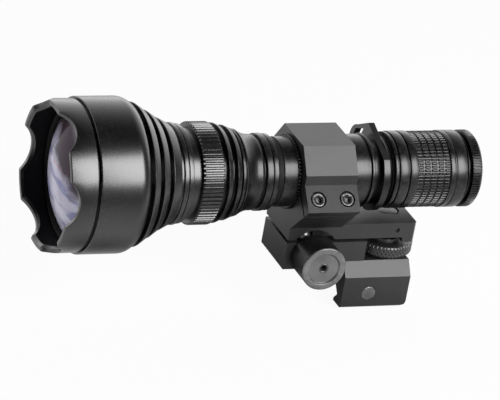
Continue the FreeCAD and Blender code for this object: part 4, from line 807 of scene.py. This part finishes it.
simpleTurned = [
    ("wheelScrew", wheelFrame, "elevation_screw", "wheel", bareSteel, "bare_metal",
     [(9.0, 0), (9.0, 2.0, 0.3), (12.0, 2.0, 0.1), (12.0, 2.4, 0.1), (26.4, 2.4, 0.4), (26.4, 0)]),
    ("barrelNut", wheelFrame, "elevation_nut", "cradle", bareSteel, "bare_metal",
     [(21.9, 2.9, 0.1), (21.9, 4.0, 0.2), (28.1, 4.0, 0.35), (28.1, 0), (27.4, 0), (27.4, 2.9, 0.1)]),
    ("hingePinTurned", axisFrame((layout["hingeAt"], 0, layout["hingeHeight"]), (0, -1, 0), (0, 0, 1)),
     "hinge_pin", "carriage", bareSteel, "bare_metal",
     [(-8.4, 0), (-8.4, 1.6, 0.3), (9.5, 1.6, 0.1), (9.5, 2.1, 0.1), (9.9, 2.1, 0.3), (10.5, 1.2, 0.5), (10.6, 0)]),
    ("pivotScrewTurned", axisFrame((layout["pivotAt"], 0, 0), (0, 0, 1), (1, 0, 0)), "pivot_screw", "foot",
     bareSteel, "bare_metal",
     [(0.3, 0), (0.3, 3.2, 0.3), (2.9, 3.2, 0.1), (2.9, 2.0, 0.1), (17.6, 2.0, 0.4), (17.6, 0)]),
    ("clampBoltTurned", axisFrame((layout["boltAt"], 0, layout["boltHeight"]), (0, -1, 0), (0, 0, 1)),
     "clamp_bolt", "foot", turnedFace, "bare_metal",
     [(-24.6, 0), (-24.6, 2.5, 0.5), (12.2, 2.5, 0.1), (12.2, 2.95, 0.1), (15.2, 2.95, 0.35), (15.2, 0)]),
    ("windageClipTurned", axisFrame((layout["knobAt"], 0, layout["knobHeight"]), (0, 1, 0), (0, 0, 1)),
     "windage_clip", "knob", bareSteel, "bare_metal",
     [(11.7, 2.0, 0), (11.7, 3.6, 0.2), (12.9, 3.6, 0.3), (12.9, 2.0, 0)]),
    ("wheelClipTurned", wheelFrame, "elevation_clip", "wheel", bareSteel, "bare_metal",
     [(9.1, 2.0, 0), (9.1, 3.6, 0.15), (9.9, 3.6, 0.15), (9.9, 2.0, 0)]),
]
for name, place, node, body, material, slotName, outline in simpleTurned:
    dress(turned(name, place, softened(outline, cuts=3), 72), material, slotName, body, node)

windageScrewShape = {"start": -13.5, "end": 23.2, "radius": 2.0, "socket": 2.5, "socketDepth": 3.0}


def makeWindageScrew(s):
    return socketScrew("windageScrewTurned", knobFrame, [
        (s["start"], 0), (s["start"], s["radius"], 0.4), (s["end"], s["radius"], 0.25), (s["end"], 0),
    ], s["end"], s["socket"], s["socketDepth"])


dress(makeWindageScrew(windageScrewShape), bareSteel, "bare_metal", "knob", "windage_screw")

crossPins = {"height": 25.1, "inner": 2.9, "outer": 10.5, "radius": 1.0}
for name, side in (("crossPin1", -1), ("crossPin2", 1)):
    pinFrame = axisFrame((layout["wheelAt"], 0, crossPins["height"]), (0, side, 0), (0, 0, 1))
    pin = turned(name, pinFrame, softened([
        (crossPins["inner"], 0), (crossPins["inner"], crossPins["radius"], 0.1),
        (crossPins["outer"], crossPins["radius"], 0.4), (crossPins["outer"], 0)]), 48)
    dress(pin, bareSteel, "bare_metal", "cradle", "elevation_cross_pins")
print("mount made")

# Parts that keep their solids' meshes, seen only through the lens or when taken apart

innerFinishes = {
    "emitter_carrier": torchBlack, "emitter_board": boardMetal, "emitter": emitterResin,
    "driver_board": boardGreen, "front_spring": springPlate, "battery_cell": cellSleeve,
    "tail_spring": springPlate, "switch_module": switchPlastic, "switch_retainer": bareSteel,
    "lens_gasket": blackRubber, "windage_nut": threadBrass,
}
for node, material in innerFinishes.items():
    nodes[node].data.materials.clear()
    nodes[node].data.materials.append(material)

# Studio

studio = {
    "floorHeight": -7.8,
    "floorColour": (0.9, 0.9, 0.9, 1),
    "floorReach": 6.0,
    "mainPower": 13.0,
    "mainSize": (0.62, 0.75),
    "mainFrom": (0.39, -0.765, 0.512),
    "backGlow": 2.4,     # the pale backdrop behind the object, low over the floor
    "backFade": (0.0, 0.94),
    "roomGlow": 0.02,    # overhead
    "frontGlow": 0.35,   # the dim room behind the camera
    "frontFade": (0.0, 0.25),
    "backStarts": (-0.15, 0.35),
    "whiteShare": 0.94,     # how much of the floor's own shading the camera doesn't see
    "mirroredShare": 0.95,  # the same for what the object mirrors
    # floorGlow, floorFade and pools: painted light and painted shadow on the floor as the object mirrors it
    "floorGlow": (0.2, 0.85),
    "floorFade": (-0.26, -0.07),
    "pools": (((-0.11, -0.018, -0.0078), 0.3, 0.004, 0.03), ((-0.03, 0.02, -0.0078), 0.08, 0.03, 0.09)),
}


def makeRoom(s):
    # a room that is pale behind the object and dark overhead and behind the camera
    world = bpy.data.worlds.new("studioRoom")
    world.use_nodes = True
    tree = world.node_tree
    apart = tree.nodes.new("ShaderNodeSeparateXYZ")
    tree.links.new(tree.nodes.new("ShaderNodeTexCoord").outputs["Generated"], apart.inputs[0])
    behind = spread(tree, apart.outputs["Y"], 0.0, 1.0, *s["backStarts"])
    backdrop = spread(tree, apart.outputs["Z"], s["backGlow"], s["roomGlow"], *s["backFade"])
    front = spread(tree, apart.outputs["Z"], s["frontGlow"], s["roomGlow"], *s["frontFade"])
    seen = tree.nodes.new("ShaderNodeLightPath").outputs["Is Camera Ray"]
    glow = mixValues(tree, seen, mixValues(tree, behind, front, backdrop), 1.0)
    shader = tree.nodes["Background"]
    shader.inputs["Color"].default_value = (1, 1, 1, 1)
    tree.links.new(glow, shader.inputs["Strength"])
    bpy.context.scene.world = world


def poolAt(tree, place, centre, depth, near, far):
    # the shade that a low part of the object lays on the floor around a point
    away = tree.nodes.new("ShaderNodeVectorMath")
    away.operation = "DISTANCE"
    tree.links.new(place, away.inputs[0])
    away.inputs[1].default_value = centre
    return spread(tree, away.outputs["Value"], depth, 1.0, near, far)


def makeFloor(s):
    reach, height = s["floorReach"], s["floorHeight"] * mm
    corners = [(-reach, -reach, height), (reach, -reach, height), (reach, reach, height), (-reach, reach, height)]
    mesh = bpy.data.meshes.new("floorSheet")
    mesh.from_pydata(corners, [], [(0, 1, 2, 3)])
    floor = bpy.data.objects.new("floorSheet", mesh)
    bpy.context.scene.collection.objects.link(floor)
    material, tree, shader = newMaterial("floorPaper")
    shader.inputs["Base Color"].default_value = s["floorColour"]
    shader.inputs["Roughness"].default_value = 0.9
    shader.inputs["Specular IOR Level"].default_value = 0.1
    light = tree.nodes.new("ShaderNodeLightPath")
    apart = tree.nodes.new("ShaderNodeSeparateXYZ")
    place = tree.nodes.new("ShaderNodeTexCoord").outputs["Object"]
    tree.links.new(place, apart.inputs[0])
    # what the object mirrors of the floor is painted light: brighter near the object, dimmer towards the front, with
    # painted shadow pools under the head and the mount
    paintedFloorLight = spread(tree, apart.outputs["Y"], *s["floorGlow"], *s["floorFade"])
    for centre, depth, near, far in s["pools"]:
        paintedFloorLight = mathNode(tree, "MULTIPLY", paintedFloorLight, poolAt(tree, place, centre, depth, near, far))
    seen = mathNode(tree, "MAXIMUM", light.outputs["Is Camera Ray"], light.outputs["Is Transmission Ray"])
    seen = mathNode(tree, "MULTIPLY", seen, s["whiteShare"])
    mirrored = mathNode(tree, "MULTIPLY", light.outputs["Is Glossy Ray"], s["mirroredShare"])
    glow = tree.nodes.new("ShaderNodeEmission")
    glow.inputs["Color"].default_value = (1, 1, 1, 1)
    tree.links.new(mixValues(tree, light.outputs["Is Glossy Ray"], 1.0, paintedFloorLight), glow.inputs["Strength"])
    mix = tree.nodes.new("ShaderNodeMixShader")
    tree.links.new(mathNode(tree, "MAXIMUM", seen, mirrored), mix.inputs[0])
    tree.links.new(shader.outputs[0], mix.inputs[1])
    tree.links.new(glow.outputs[0], mix.inputs[2])
    tree.links.new(mix.outputs[0], tree.nodes["Material Output"].inputs["Surface"])
    mesh.materials.append(material)


def addLamp(name, aim, direction, distance, size, power):
    lamp = bpy.data.lights.new(name, "AREA")
    lamp.shape = "RECTANGLE"
    lamp.size, lamp.size_y = size
    lamp.energy = power
    holder = bpy.data.objects.new(name, lamp)
    aim = Vector(aim)
    direction = Vector(direction).normalized()
    holder.location = aim + direction * distance
    holder.rotation_euler = direction.to_track_quat("Z", "Y").to_euler()
    bpy.context.scene.collection.objects.link(holder)


makeRoom(studio)
makeFloor(studio)
aim = (-0.03, 0, 0.04)
addLamp("mainSoftbox", aim, studio["mainFrom"], 1.1, studio["mainSize"], studio["mainPower"])

# Camera

cameraView = {
    "right": (0.92, -0.356, 0.161),
    "up": (0.02, 0.455, 0.890),
    "distance": 1500.0,
    "lens": 279.8,
    "knownPoint": (-28.9, 0.0, 46.0),
    "knownPixel": (313.0, 170.7),
    "frame": (500, 400),
}


def makeCamera(s):
    right = Vector(s["right"]).normalized()
    back = right.cross(Vector(s["up"])).normalized()
    up = back.cross(right)
    scale = s["distance"] / (s["lens"] / 36.0 * s["frame"][0])
    across = (s["knownPixel"][0] - s["frame"][0] / 2) * scale
    down = (s["knownPixel"][1] - s["frame"][1] / 2) * scale
    target = Vector(s["knownPoint"]) - right * across + up * down
    place = target + back * s["distance"]
    camera = bpy.data.cameras.new("photoCamera")
    camera.lens = s["lens"]
    camera.sensor_width = 36.0
    camera.clip_end = 20.0
    holder = bpy.data.objects.new("photoCamera", camera)
    turn = Matrix((right, up, back)).transposed().to_4x4()
    holder.matrix_world = Matrix.Translation(place * mm) @ turn
    bpy.context.scene.collection.objects.link(holder)
    bpy.context.scene.camera = holder


makeCamera(cameraView)
bpy.context.scene.view_settings.view_transform = "Standard"
print("studio and camera set")

bpy.context.view_layer.update()
